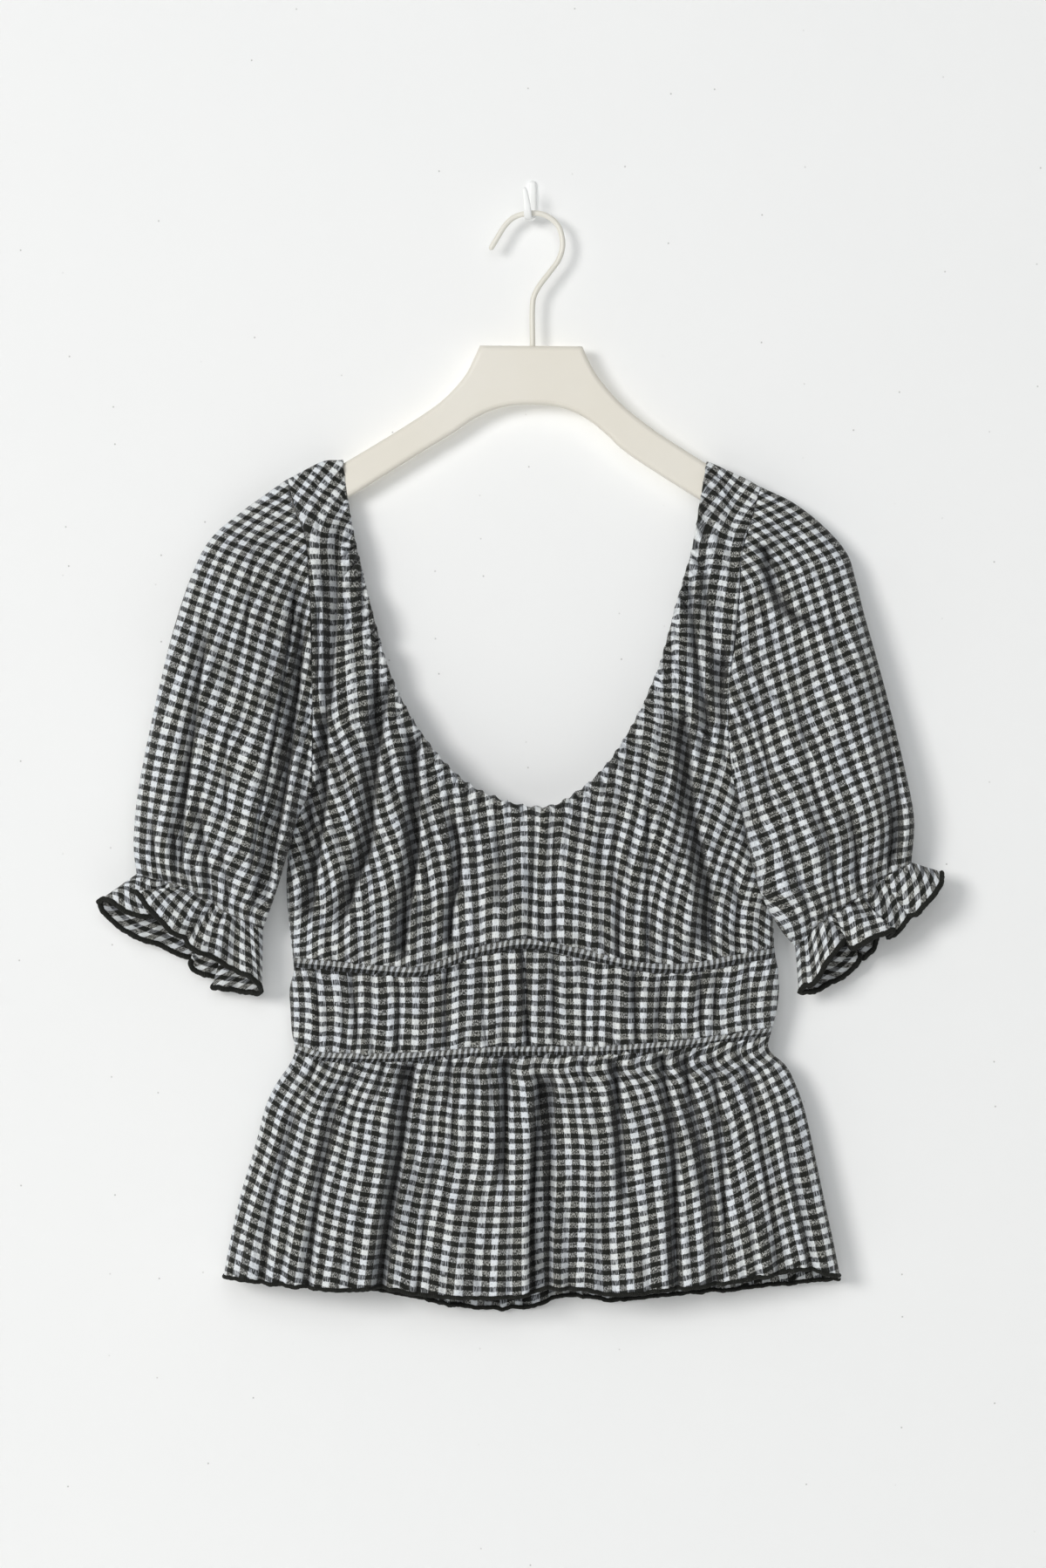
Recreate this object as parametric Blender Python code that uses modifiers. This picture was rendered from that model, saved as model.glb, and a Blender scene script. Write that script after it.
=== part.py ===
"""A gingham puff sleeve top, hanging on a hanger from a small wall hook.

The wall is the plane y = 0 and the front of the top faces -Y. The origin lies on
the wall behind the hook. Tables are in millimetres: x to the viewer's right, z up,
y from the wall. Every cloth piece is an open sheet through the middle of its cloth,
worked out from the outlines below, with a Solidify modifier for the cloth's wall.
"""

import math

import bpy

MM = 0.001

# Cloth
WALL = 1.2  # thickness of the cloth's wall
BAND_WALL = 1.6  # casing bands are cloth folded over elastic
SEAM = 0.6  # between the middles of two sheets that meet edge to edge
SIDE_GAP = 0.8  # the same where front and back meet on a turning side
ARMHOLE_GAP = 1.1  # between the bodice's armhole edge and the sleeve
UNDERARM_GAP = 2.0  # the same at the underarm, where their walls lie side by side
EDGE_RADIUS = 0.9  # overlocked edges
EDGE_GAP = 0.6  # between a sheet's end and its overlocked edge

# Torso
HANGER_Y = -13.0  # the plane of the hanger and of the shoulder seams
SQUARE = 3.4  # how squarely the flattened torso turns at its sides
PUFF_SQUARE = 2.4  # the same for the fuller fronts of the sleeves
RUFFLE_Y = -21.0  # the plane where a ruffle's front and back meet
BACK_MOST = -3.2  # y of a sleeve's back where it lies nearest the wall
WRAP_DROP = 5.0  # how far below the shoulder line the cloth is clear of the hanger
UNDERBUST_BAND = 5.4
WAIST_BAND = 5.0
BACK_NECK_DROP = 3.5  # the back neckline lies this much further out
SHOULDER_STOPS = (0.0, 0.8, 2.2, 4.6, 9.0)  # down the armhole from the shoulder seam
UNDERARM_STOPS = (10.0, 3.5, 0.0)  # up the armhole from the underarm
ARMHOLE_STEPS = 7
BODICE_ROWS = (0.0, 0.22, 0.46, 0.7, 0.88, 0.97, 1.0)  # shares from neck to seams

# Hanger and hooks
HANGER_THICK = 10.0
HANGER_ROUND = 2.0
WIRE_RADIUS = 1.75
HOOK_WIDTH = 5.0
HOOK_THICK = 2.0

CLOTH_COLOR = (0.33, 0.34, 0.34, 1.0)
EDGE_COLOR = (0.012, 0.013, 0.011, 1.0)
HANGER_COLOR = (0.76, 0.73, 0.65, 1.0)
WIRE_COLOR = (0.74, 0.72, 0.65, 1.0)
WALL_HOOK_COLOR = (0.88, 0.89, 0.88, 1.0)

# Flattened torso by depth below the origin: sides, side seam's y, and how far the
# front and back stand from the side seam at the middle
TORSO = [
    # down, left x, right x, side y, front, back
    (160.0, -190.0, 180.0, -13.0, 7.6, 7.4),
    (200.0, -190.0, 180.0, -13.2, 8.0, 7.6),
    (260.0, -186.0, 174.0, -14.0, 10.5, 8.4),
    (310.0, -177.0, 161.0, -15.0, 14.0, 9.4),
    (335.0, -158.0, 142.0, -15.5, 16.3, 10.1),
    (356.0, -145.0, 131.5, -15.8, 17.2, 10.4),
    (372.0, -139.0, 127.0, -16.0, 18.0, 10.6),
    (392.0, -141.6, 127.4, -16.4, 19.0, 10.8),
    (412.0, -148.0, 131.0, -16.8, 19.6, 11.0),
    (430.0, -153.6, 136.6, -17.0, 19.6, 11.0),
    (443.0, -154.2, 143.6, -17.0, 19.2, 11.0),
    (456.0, -153.4, 150.0, -17.0, 18.4, 11.0),
    (475.0, -151.4, 152.0, -17.0, 17.0, 10.6),
    (486.0, -150.4, 154.6, -17.0, 16.5, 10.4),
    (499.0, -153.0, 155.2, -17.0, 17.4, 10.8),
    (513.0, -152.4, 153.6, -17.0, 17.4, 10.8),
    (526.0, -151.6, 150.0, -17.0, 16.0, 10.4),
    (537.0, -149.6, 149.0, -17.0, 15.0, 10.0),
    (547.0, -153.5, 159.5, -17.2, 16.0, 10.4),
    (558.0, -161.2, 165.4, -17.4, 17.4, 11.0),
    (573.0, -168.3, 170.8, -17.8, 18.6, 11.4),
    (592.0, -173.2, 175.4, -18.2, 19.6, 11.8),
    (630.0, -184.3, 183.4, -18.8, 21.0, 12.2),
    (663.0, -191.6, 190.4, -19.2, 22.0, 12.4),
    (702.0, -198.4, 197.6, -19.4, 22.6, 12.6),
]

# Outlines seen from the front (x, z)
NECK = [
    (-119.9, -165.0),
    (-117.2, -188.0),
    (-111.7, -217.0),
    (-103.4, -251.4),
    (-91.3, -295.4),
    (-79.2, -322.0),
    (-65.5, -343.5),
    (-44.0, -366.3),
    (-22.0, -378.0),
    (1.7, -383.4),
    (18.0, -380.5),
    (44.0, -359.7),
    (65.5, -327.2),
    (80.3, -293.2),
    (91.9, -251.4),
    (100.7, -221.1),
    (106.2, -189.8),
    (110.0, -165.0),
]
LEFT_SHOULDER = [(-154.6, -176.6), (-143.0, -170.4), (-131.0, -165.0), (-119.9, -165.0)]
RIGHT_SHOULDER = [(110.0, -165.0), (124.0, -171.4), (134.0, -176.0), (143.8, -181.6)]
LEFT_ARMHOLE = [
    (-154.6, -176.6),
    (-150.2, -195.3),
    (-143.6, -212.3),
    (-141.4, -232.7),
    (-139.7, -270.6),
    (-138.6, -314.6),
    (-139.0, -372.0),
]
RIGHT_ARMHOLE = [
    (143.8, -181.6),
    (138.1, -201.9),
    (132.0, -223.9),
    (130.4, -249.2),
    (127.6, -278.3),
    (123.2, -312.4),
    (123.8, -344.9),
    (127.0, -370.0),
]
UNDERBUST = [
    (-150.4, -481.3),
    (-124.3, -483.5),
    (-77.0, -487.3),
    (-58.9, -483.5),
    (-40.7, -476.3),
    (-5.0, -469.2),
    (28.6, -475.2),
    (66.6, -483.5),
    (92.0, -485.1),
    (129.8, -479.1),
    (152.2, -475.2),
]
WAIST = [
    (-149.6, -535.6),
    (-130.4, -540.7),
    (-76.5, -540.7),
    (-29.2, -537.4),
    (47.9, -536.2),
    (98.5, -532.4),
    (149.4, -524.8),
]
FRONT_HEM = [
    (-194.7, -678.7),
    (-153.5, -683.1),
    (-115.0, -686.0),
    (-90.8, -684.8),
    (-73.7, -685.9),
    (-30.8, -691.4),
    (-3.3, -690.2),
    (28.0, -685.4),
    (60.0, -687.5),
    (109.5, -683.1),
    (144.1, -678.2),
    (172.0, -673.4),
    (194.2, -678.9),
]
BACK_HEM = [
    (-194.7, -678.7),
    (-150.0, -684.0),
    (-99.6, -687.4),
    (-57.2, -698.0),
    (-25.3, -700.7),
    (6.6, -699.1),
    (28.1, -693.6),
    (53.4, -695.8),
    (105.1, -690.2),
    (144.1, -686.4),
    (194.0, -680.9),
]

# Where the rays of the bodice leave the neckline, as shares of its length
NECK_AT_LEFT_UNDERARM = 0.275
NECK_AT_LEFT_CORNER = 0.365
NECK_AT_RIGHT_CORNER = 0.640
NECK_AT_RIGHT_UNDERARM = 0.735

SLEEVES = {
    "left": {
        "side": -1.0,
        "armhole": LEFT_ARMHOLE,
        "outer": [
            (-154.6, -176.0),
            (-166.1, -184.4),
            (-183.7, -197.1),
            (-203.6, -214.6),
            (-215.2, -237.1),
            (-226.0, -271.2),
            (-235.4, -309.7),
            (-245.3, -356.4),
            (-249.7, -383.4),
            (-251.3, -409.2),
            (-249.4, -426.0),
        ],
        "inner": [
            (-139.0, -372.0),
            (-146.6, -386.0),
            (-153.6, -409.2),
            (-159.4, -429.6),
            (-164.0, -443.3),
            (-170.5, -460.6),
        ],
        "elastic": [
            (-170.5, -460.6),
            (-190.9, -450.6),
            (-218.4, -434.6),
            (-249.4, -426.0),
        ],
        "front_edge": [
            # share round, x, z, depth from the ruffle's middle
            (0.00, -171.5, -498.0, 12.0),
            (0.14, -189.0, -482.5, 20.0),
            (0.28, -206.0, -474.5, 12.0),
            (0.42, -221.0, -466.0, 22.0),
            (0.56, -233.5, -456.0, 13.0),
            (0.70, -247.5, -451.0, 22.0),
            (0.85, -260.0, -447.0, 14.0),
            (1.00, -272.6, -441.4, 10.0),
        ],
        "back_edge": [
            (0.00, -171.5, -498.0, 10.0),
            (0.14, -191.0, -499.5, 16.0),
            (0.28, -207.0, -490.0, 8.0),
            (0.42, -219.5, -479.5, 16.0),
            (0.56, -234.0, -472.5, 9.0),
            (0.70, -249.0, -465.0, 16.0),
            (0.85, -265.0, -455.0, 11.0),
            (1.00, -272.6, -441.4, 9.0),
        ],
        "folds": [
            # from x, z, to x, z, width, depth
            (-154.0, -250.0, -168.0, -360.0, 8.0, 9.0),
            (-205.0, -262.0, -222.0, -415.0, 9.0, 3.5),
            (-186.0, -225.0, -196.0, -400.0, 12.0, -3.0),
            (-172.0, -340.0, -190.0, -446.0, 7.0, 3.0),
            (-232.0, -330.0, -238.0, -424.0, 6.0, 2.5),
        ],
    },
    "right": {
        "side": 1.0,
        "armhole": RIGHT_ARMHOLE,
        "outer": [
            (143.8, -181.0),
            (164.5, -191.4),
            (185.1, -207.5),
            (198.8, -223.9),
            (203.5, -238.7),
            (209.5, -264.0),
            (222.7, -312.4),
            (236.5, -369.1),
            (240.3, -392.7),
            (238.6, -418.8),
        ],
        "inner": [
            (127.0, -370.0),
            (132.2, -385.6),
            (137.2, -413.1),
            (144.2, -438.4),
            (156.0, -459.8),
            (166.1, -471.6),
        ],
        "elastic": [
            (166.1, -471.6),
            (181.5, -456.0),
            (207.9, -438.4),
            (220.0, -429.0),
            (238.6, -418.8),
        ],
        "front_edge": [
            (0.00, 170.0, -500.0, 12.0),
            (0.14, 176.0, -486.0, 17.0),
            (0.28, 189.0, -472.5, 12.0),
            (0.42, 204.0, -470.0, 22.0),
            (0.56, 220.0, -463.0, 14.0),
            (0.70, 234.0, -452.5, 23.0),
            (0.85, 248.0, -443.0, 14.0),
            (1.00, 257.4, -426.0, 10.0),
        ],
        "back_edge": [
            (0.00, 170.0, -500.0, 10.0),
            (0.14, 184.0, -497.5, 16.0),
            (0.28, 199.0, -488.5, 9.0),
            (0.42, 209.0, -478.0, 16.0),
            (0.56, 222.0, -466.5, 9.0),
            (0.70, 237.0, -453.5, 16.0),
            (0.85, 250.0, -443.5, 11.0),
            (1.00, 257.4, -426.0, 9.0),
        ],
        "folds": [
            (134.0, -222.0, 172.0, -268.0, 7.0, 6.0),
            (208.0, -245.0, 213.0, -412.0, 8.0, 5.0),
            (160.0, -262.0, 176.0, -430.0, 13.0, -3.0),
            (142.0, -330.0, 166.0, -446.0, 8.0, 3.0),
            (190.0, -300.0, 204.0, -426.0, 8.0, 2.5),
        ],
    },
}

# A sleeve's depth from its armhole (0) to its elastic (1): middle y, front, back
SLEEVE_DEPTH = [
    (0.00, -15.0, 10.0, 9.0),
    (0.12, -18.0, 20.0, 13.0),
    (0.30, -22.0, 25.0, 17.0),
    (0.60, -24.0, 25.0, 19.0),
    (0.85, -23.0, 19.0, 16.0),
    (1.00, -22.0, 12.0, 11.0),
]

FRONT_BODICE_FOLDS = [
    # from x, z, to x, z, width, depth
    (-100.0, -312.0, -122.0, -440.0, 6.0, 4.5),
    (-76.0, -398.0, -84.0, -482.0, 6.0, 3.5),
    (-46.0, -398.0, -53.0, -462.0, 5.0, 3.0),
    (-18.0, -396.0, -20.0, -466.0, 5.0, -2.0),
    (14.0, -396.0, 14.0, -468.0, 5.0, 2.0),
    (50.0, -396.0, 54.0, -474.0, 6.0, 3.0),
    (84.0, -330.0, 106.0, -478.0, 8.0, 5.0),
    (104.0, -296.0, 128.0, -398.0, 6.0, 4.0),
    (-132.0, -300.0, -140.0, -460.0, 5.0, 2.5),
]
BACK_BODICE_FOLDS = [
    (-104.0, -330.0, -118.0, -462.0, 7.0, 3.0),
    (-60.0, -392.0, -66.0, -480.0, 6.0, 2.5),
    (-10.0, -394.0, -14.0, -464.0, 6.0, 2.0),
    (36.0, -392.0, 42.0, -472.0, 6.0, 2.5),
    (92.0, -330.0, 110.0, -470.0, 7.0, 3.0),
]
FRONT_WAISTBAND_FOLDS = [
    (-112.0, -484.0, -112.0, -542.0, 5.0, 4.0),
    (-54.0, -484.0, -56.0, -538.0, 5.0, 3.5),
    (-7.0, -470.0, -2.0, -538.0, 5.0, 6.0),
    (14.0, -472.0, 14.0, -538.0, 4.0, 2.5),
    (46.0, -478.0, 46.0, -537.0, 5.0, 3.5),
    (66.0, -482.0, 65.0, -536.0, 4.0, 3.0),
    (81.0, -482.0, 80.0, -535.0, 4.0, 2.5),
    (107.0, -482.0, 108.0, -533.0, 4.0, 3.0),
    (118.0, -482.0, 119.0, -532.0, 4.0, 3.0),
    (-84.0, -486.0, -84.0, -542.0, 5.0, 2.0),
    (-30.0, -476.0, -30.0, -538.0, 5.0, 2.0),
]
BACK_WAISTBAND_FOLDS = [
    (-118.0, -484.0, -118.0, -542.0, 5.0, 3.0),
    (-88.0, -484.0, -88.0, -542.0, 5.0, 2.5),
    (-52.0, -480.0, -52.0, -540.0, 5.0, 3.5),
    (-16.0, -470.0, -16.0, -538.0, 5.0, 2.5),
    (22.0, -474.0, 22.0, -538.0, 5.0, 3.5),
    (58.0, -480.0, 58.0, -536.0, 5.0, 2.5),
    (96.0, -482.0, 96.0, -534.0, 5.0, 3.5),
    (126.0, -480.0, 126.0, -530.0, 4.0, 2.5),
]
FRONT_PEPLUM_FOLDS = [
    (-76.0, -530.0, -96.0, -760.0, 11.0, 7.0),
    (-20.0, -536.0, -21.0, -640.0, 6.0, 4.5),
    (-52.0, -540.0, -58.0, -760.0, 11.0, -5.0),
    (4.0, -538.0, 4.0, -760.0, 10.0, 7.0),
    (30.0, -540.0, 34.0, -760.0, 10.0, -4.0),
    (54.0, -536.0, 60.0, -700.0, 8.0, 5.0),
    (76.0, -548.0, 84.0, -780.0, 8.0, -5.0),
    (100.0, -540.0, 122.0, -780.0, 11.0, 6.0),
    (-112.0, -536.0, -122.0, -590.0, 7.0, 4.0),
    (-118.0, -560.0, -136.0, -780.0, 13.0, -5.0),
    (-150.0, -580.0, -168.0, -780.0, 10.0, 4.0),
    (142.0, -560.0, 158.0, -780.0, 10.0, -4.0),
    (124.0, -530.0, 146.0, -640.0, 7.0, 3.5),
]
BACK_PEPLUM_FOLDS = [
    (-112.0, -536.0, -132.0, -780.0, 11.0, 5.0),
    (-78.0, -536.0, -90.0, -780.0, 10.0, -3.0),
    (-44.0, -536.0, -52.0, -780.0, 11.0, 6.0),
    (-8.0, -536.0, -10.0, -780.0, 10.0, -3.0),
    (26.0, -536.0, 32.0, -780.0, 11.0, 6.0),
    (62.0, -536.0, 76.0, -780.0, 10.0, -3.0),
    (98.0, -536.0, 122.0, -780.0, 11.0, 5.0),
]

# Hanger, traced from its left tip over the plate to its right tip and back below
HANGER_OUTLINE = [
    (-193.0, -219.0),
    (-191.0, -211.0),
    (-185.0, -205.4),
    (-155.0, -187.4),
    (-119.9, -166.6),
    (-96.0, -152.4),
    (-72.1, -137.4),
    (-58.0, -127.4),
    (-48.4, -118.0),
    (-42.0, -110.0),
    (-38.0, -102.3),
    (-33.3, -91.9),
    (31.4, -92.4),
    (36.0, -102.3),
    (40.6, -110.6),
    (47.0, -118.8),
    (57.0, -129.6),
    (70.0, -140.2),
    (82.0, -148.8),
    (110.0, -166.6),
    (145.0, -187.4),
    (176.0, -205.4),
    (182.0, -211.0),
    (184.0, -219.0),
    (181.0, -225.0),
    (175.0, -227.0),
    (145.0, -211.0),
    (106.2, -189.4),
    (61.6, -161.0),
    (48.0, -149.0),
    (38.0, -140.6),
    (26.0, -133.6),
    (13.0, -130.0),
    (-1.1, -129.2),
    (-14.0, -130.0),
    (-27.0, -133.4),
    (-39.1, -139.6),
    (-49.0, -146.6),
    (-72.1, -160.6),
    (-117.2, -188.6),
    (-154.0, -209.0),
    (-184.0, -227.0),
    (-190.0, -225.0),
]
# The wire hook (x, z), from the plate to the free end
WIRE_ROUTE = [
    (0.0, -91.7),
    (0.2, -63.8),
    (3.2, -55.7),
    (11.0, -45.1),
    (16.5, -37.4),
    (19.0, -28.6),
    (17.4, -18.4),
    (13.2, -12.6),
    (7.2, -9.0),
    (1.0, -8.0),
    (-7.2, -8.9),
    (-13.2, -11.6),
    (-18.0, -16.6),
    (-22.0, -23.1),
    (-26.0, -29.7),
]
# The wall hook's back face: down the wall, out under the wire and up in front of it
WALL_HOOK_ROUTE = [
    # x, y, z
    (0.0, 0.0, 13.8),
    (0.0, 0.0, 6.0),
    (0.0, 0.0, -5.0),
    (-0.4, -1.2, -8.8),
    (-1.0, -4.6, -11.3),
    (-1.7, -9.0, -12.3),
    (-2.4, -13.2, -12.6),
    (-2.9, -17.0, -11.4),
    (-3.2, -19.4, -7.8),
    (-3.6, -19.8, -3.0),
    (-4.3, -19.9, 2.0),
    (-5.0, -20.2, 7.4),
]


def read(rows, key):
    """A table's columns at a key, on a smooth curve through its rows."""
    key = min(max(key, rows[0][0]), rows[-1][0])
    at = 0
    while at < len(rows) - 2 and key > rows[at + 1][0]:
        at += 1
    span = rows[at + 1][0] - rows[at][0]
    t = (key - rows[at][0]) / span
    result = []
    for column in range(1, len(rows[0])):
        slopes = []
        for here in (at, at + 1):
            before = max(here - 1, 0)
            after = min(here + 1, len(rows) - 1)
            rise = rows[after][column] - rows[before][column]
            slopes.append(rise / (rows[after][0] - rows[before][0]) * span)
        low, high = rows[at][column], rows[at + 1][column]
        value = (2 * t**3 - 3 * t**2 + 1) * low + (3 * t**2 - 2 * t**3) * high
        value += (t**3 - 2 * t**2 + t) * slopes[0] + (t**3 - t**2) * slopes[1]
        result.append(value)
    return result


def by_length(points):
    """Rows of a table that gives an outline's points by their share of its length."""
    run = [0.0]
    for one, other in zip(points, points[1:]):
        run.append(run[-1] + math.dist(one, other))
    return [(r / run[-1], *p) for r, p in zip(run, points)]


def across(points):
    """Rows of a table that gives a height by the share of the way across."""
    left, right = points[0][0], points[-1][0]
    return [((x - left) / (right - left), z) for x, z in points]


def mix(a, b, t):
    return [p + (q - p) * t for p, q in zip(a, b)]


def swell(t):
    """From 0 to 1 with no corner at either end."""
    t = min(max(t, 0.0), 1.0)
    return t * t * (3 - 2 * t)


def rounding(share, square):
    """0 at both ends of a flattened section and 1 in its middle, turning squarely."""
    sideways = min(abs(2 * share - 1), 1.0)
    return (1 - sideways**square) ** (1 / square)


def fold_depth(folds, x, z):
    """How far the folds' troughs draw the cloth in at one place of the outline."""
    depth = 0.0
    for x0, z0, x1, z1, width, drawn in folds:
        length = math.dist((x0, z0), (x1, z1))
        ux, uz = (x1 - x0) / length, (z1 - z0) / length
        along = (x - x0) * ux + (z - z0) * uz
        if 0 < along < length:
            away = (x - x0) * uz - (z - z0) * ux
            fade = math.sin(math.pi * along / length) ** 0.6
            depth += drawn * fade * math.exp(-((away / width) ** 2))
    return depth


def spread(count):
    """Shares across a panel: even, with closer ones where it turns at its sides."""
    turn = [0.0, 0.005, 0.018, 0.042]
    width = 1 - 2 * turn[-1]
    middle = [turn[-1] + width * i / count for i in range(1, count)]
    return turn + middle + [1 - share for share in reversed(turn)]


# Torso surface


def torso(face, share, down, drawn=0.0):
    """A point of the torso: face -1 is the front and 1 the back, share runs from the
    left side to the right, and drawn is how far a fold pulls it in."""
    left, right, side, front, back = read(TORSO, down)
    turn = rounding(share, SQUARE)
    depth = front if face < 0 else back
    y = side + face * (SIDE_GAP / 2 + (depth - drawn) * turn)
    return [left + share * (right - left), y, -down]


def torso_at(face, x, z, drawn=0.0):
    left, right = read(TORSO, -z)[:2]
    return torso(face, (x - left) / (right - left), -z, drawn)


def panel(face, top, bottom, columns, rows, folds, hold_bottom):
    """A panel of the torso between two seams, each a table of height by share."""
    grid = []
    for row in range(rows + 1):
        v = row / rows
        line = []
        for share in spread(columns):
            z = mix(read(top, share), read(bottom, share), v)[0]
            left, right = read(TORSO, -z)[:2]
            x = left + share * (right - left)
            held = swell(v / 0.3)
            if hold_bottom:
                held *= swell((1 - v) / 0.3)
            line.append(torso(face, share, -z, held * fold_depth(folds, x, z)))
        grid.append(line)
    return grid


def shifted(seam, rise):
    return [(share, z + rise) for share, z in seam]


# Bodice


def armhole_stops(length):
    """Places along an armhole edge from the shoulder seam, close together where the
    cloth wraps the hanger and where it turns into the side seam."""
    first, last = SHOULDER_STOPS[-1], length - UNDERARM_STOPS[0]
    even = [first + (last - first) * i / ARMHOLE_STEPS for i in range(1, ARMHOLE_STEPS)]
    low = [length - stop for stop in UNDERARM_STOPS]
    return [stop / length for stop in (*SHOULDER_STOPS, *even, *low)]


def outline_length(points):
    return sum(math.dist(a, b) for a, b in zip(points, points[1:]))


def bodice_rays():
    """Pairs of a neckline point and an outer point, from the left shoulder seam round
    the scoop to the right one."""
    neck = by_length(NECK)
    left_arm, right_arm = by_length(LEFT_ARMHOLE), by_length(RIGHT_ARMHOLE)
    seam = shifted(across(UNDERBUST), UNDERBUST_BAND / 2 + SEAM)
    rays = []
    stops = armhole_stops(outline_length(LEFT_ARMHOLE))
    for stop in stops:
        rays.append((read(neck, stop * NECK_AT_LEFT_UNDERARM), read(left_arm, stop)))
    side_steps = 5
    top, low = -LEFT_ARMHOLE[-1][1], -read(seam, 0.0)[0]
    for i in range(1, side_steps):
        t = i / side_steps
        down = top + (low - top) * t
        share = NECK_AT_LEFT_UNDERARM + (NECK_AT_LEFT_CORNER - NECK_AT_LEFT_UNDERARM) * t
        rays.append((read(neck, share), [read(TORSO, down)[0], -down]))
    for t in spread(18):
        z = read(seam, t)[0]
        left, right = read(TORSO, -z)[:2]
        share = NECK_AT_LEFT_CORNER + (NECK_AT_RIGHT_CORNER - NECK_AT_LEFT_CORNER) * t
        rays.append((read(neck, share), [left + t * (right - left), z]))
    top, low = -RIGHT_ARMHOLE[-1][1], -read(seam, 1.0)[0]
    for i in range(side_steps - 1, 0, -1):
        t = i / side_steps
        down = top + (low - top) * t
        gap = NECK_AT_RIGHT_UNDERARM - NECK_AT_RIGHT_CORNER
        rays.append((read(neck, NECK_AT_RIGHT_UNDERARM - gap * t), [read(TORSO, down)[1], -down]))
    for stop in reversed(armhole_stops(outline_length(RIGHT_ARMHOLE))):
        share = 1 - stop * (1 - NECK_AT_RIGHT_UNDERARM)
        rays.append((read(neck, share), read(right_arm, stop)))
    return rays


def shoulder_wrap(x, z):
    """0 on the shoulder line, rising to 1 where the cloth hangs clear of the hanger."""
    line = LEFT_SHOULDER if x < 0 else RIGHT_SHOULDER
    top = read(line, x)[0]
    drop = min(max(top - z, 0.0) / WRAP_DROP, 1.0)
    return (1 - (1 - drop) ** 3) ** (1 / 3)


def shoulder_lift(x):
    """How far the shoulder line stands above the straight line between its ends."""
    line = LEFT_SHOULDER if x < 0 else RIGHT_SHOULDER
    (x0, z0), (x1, z1) = line[0], line[-1]
    share = min(max((x - x0) / (x1 - x0), 0.0), 1.0)
    return read(line, x)[0] - (z0 + (z1 - z0) * share)


def bodice_point(face, x, z, drawn=0.0):
    x, y, z = torso_at(face, x, z, drawn)
    wrap = shoulder_wrap(x, z)
    seam_y = HANGER_Y + face * SEAM / 2
    return [x, seam_y + (y - seam_y) * wrap, z]


def bodice(face, folds):
    """The bodice's grid: rows from the neckline out, columns along the rays."""
    grid = []
    rays = bodice_rays()
    for step in BODICE_ROWS:
        line = []
        for number, (inner, outer) in enumerate(rays):
            from_shoulder = min(number, len(rays) - 1 - number)
            start = 0.0
            if face > 0:
                start = BACK_NECK_DROP * swell((from_shoulder - 3) / 4) / math.dist(inner, outer)
            v = start + (1 - start) * step
            x, z = mix(inner, outer, v)
            z += shoulder_lift(x) * swell(1 - from_shoulder / 8)
            held = swell((1 - v) / 0.15)
            gather = 1.1 * math.sin(number * 2 * math.pi / 3) * swell((0.6 - v) / 0.6)
            gather *= swell((from_shoulder - 5) / 3)
            line.append(bodice_point(face, x, z, held * fold_depth(folds, x, z) + gather))
        grid.append(line)
    return grid


# Sleeves


def sleeve_ring(count):
    """Places round a sleeve as (face, share): share 0 is underarm and 1 the shoulder."""
    half = count // 2
    ring = []
    for i in range(half):
        ring.append((-1, (1 - math.cos(math.pi * i / half)) / 2))
    for i in range(half):
        ring.append((1, (1 + math.cos(math.pi * i / half)) / 2))
    return ring


def sleeve_place(shape, along, share):
    """A sleeve's outline place: a patch between armhole, elastic and both edges."""
    low_gap, gap = shape["side"] * UNDERARM_GAP, shape["side"] * ARMHOLE_GAP
    arm = [[x + gap, z] for x, z in reversed(shape["armhole"])]
    arm[0][0] += low_gap - gap
    inner = [[x + low_gap * (1 - i / 5), z] for i, (x, z) in enumerate(shape["inner"])]
    outer = [list(p) for p in shape["outer"]]
    outer[0] = arm[-1]
    start, end = read(by_length(arm), share), read(by_length(shape["elastic"]), share)
    low, high = read(by_length(inner), along), read(by_length(outer), along)
    place = []
    for i in (0, 1):
        value = (1 - along) * start[i] + along * end[i] + (1 - share) * low[i] + share * high[i]
        value -= (1 - along) * ((1 - share) * arm[0][i] + share * arm[-1][i])
        ends = shape["elastic"]
        value -= along * ((1 - share) * ends[0][i] + share * ends[-1][i])
        place.append(value)
    return place


def sleeve_point(shape, along, face, share):
    x, z = sleeve_place(shape, along, share)
    arm = list(reversed(shape["armhole"]))
    ax, az = read(by_length(arm), share)
    start_y = bodice_point(face, ax, az)[1]
    middle, front, back = read(SLEEVE_DEPTH, along)
    over_hanger = swell((0.5 - along) / 0.25) * share**2
    middle += (HANGER_Y - middle) * over_hanger
    if face < 0:
        round_y = middle - front * rounding(share, PUFF_SQUARE)
    else:
        round_y = middle + min(back, BACK_MOST - middle) * rounding(share, SQUARE)
    leave = 1 - (1 - along) ** 6
    y = start_y + (round_y - start_y) * leave
    turn = rounding(share, PUFF_SQUARE) * swell(along / 0.15) * swell((1 - along) / 0.1)
    drawn = fold_depth(shape["folds"], x, z) * (1.0 if face < 0 else 0.3)
    return [x, y - face * drawn * turn, z]


def sleeve(shape, columns, rows):
    grid = []
    for row in range(rows + 1):
        along = row / rows
        grid.append([sleeve_point(shape, along, face, share) for face, share in sleeve_ring(columns)])
    return grid


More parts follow.
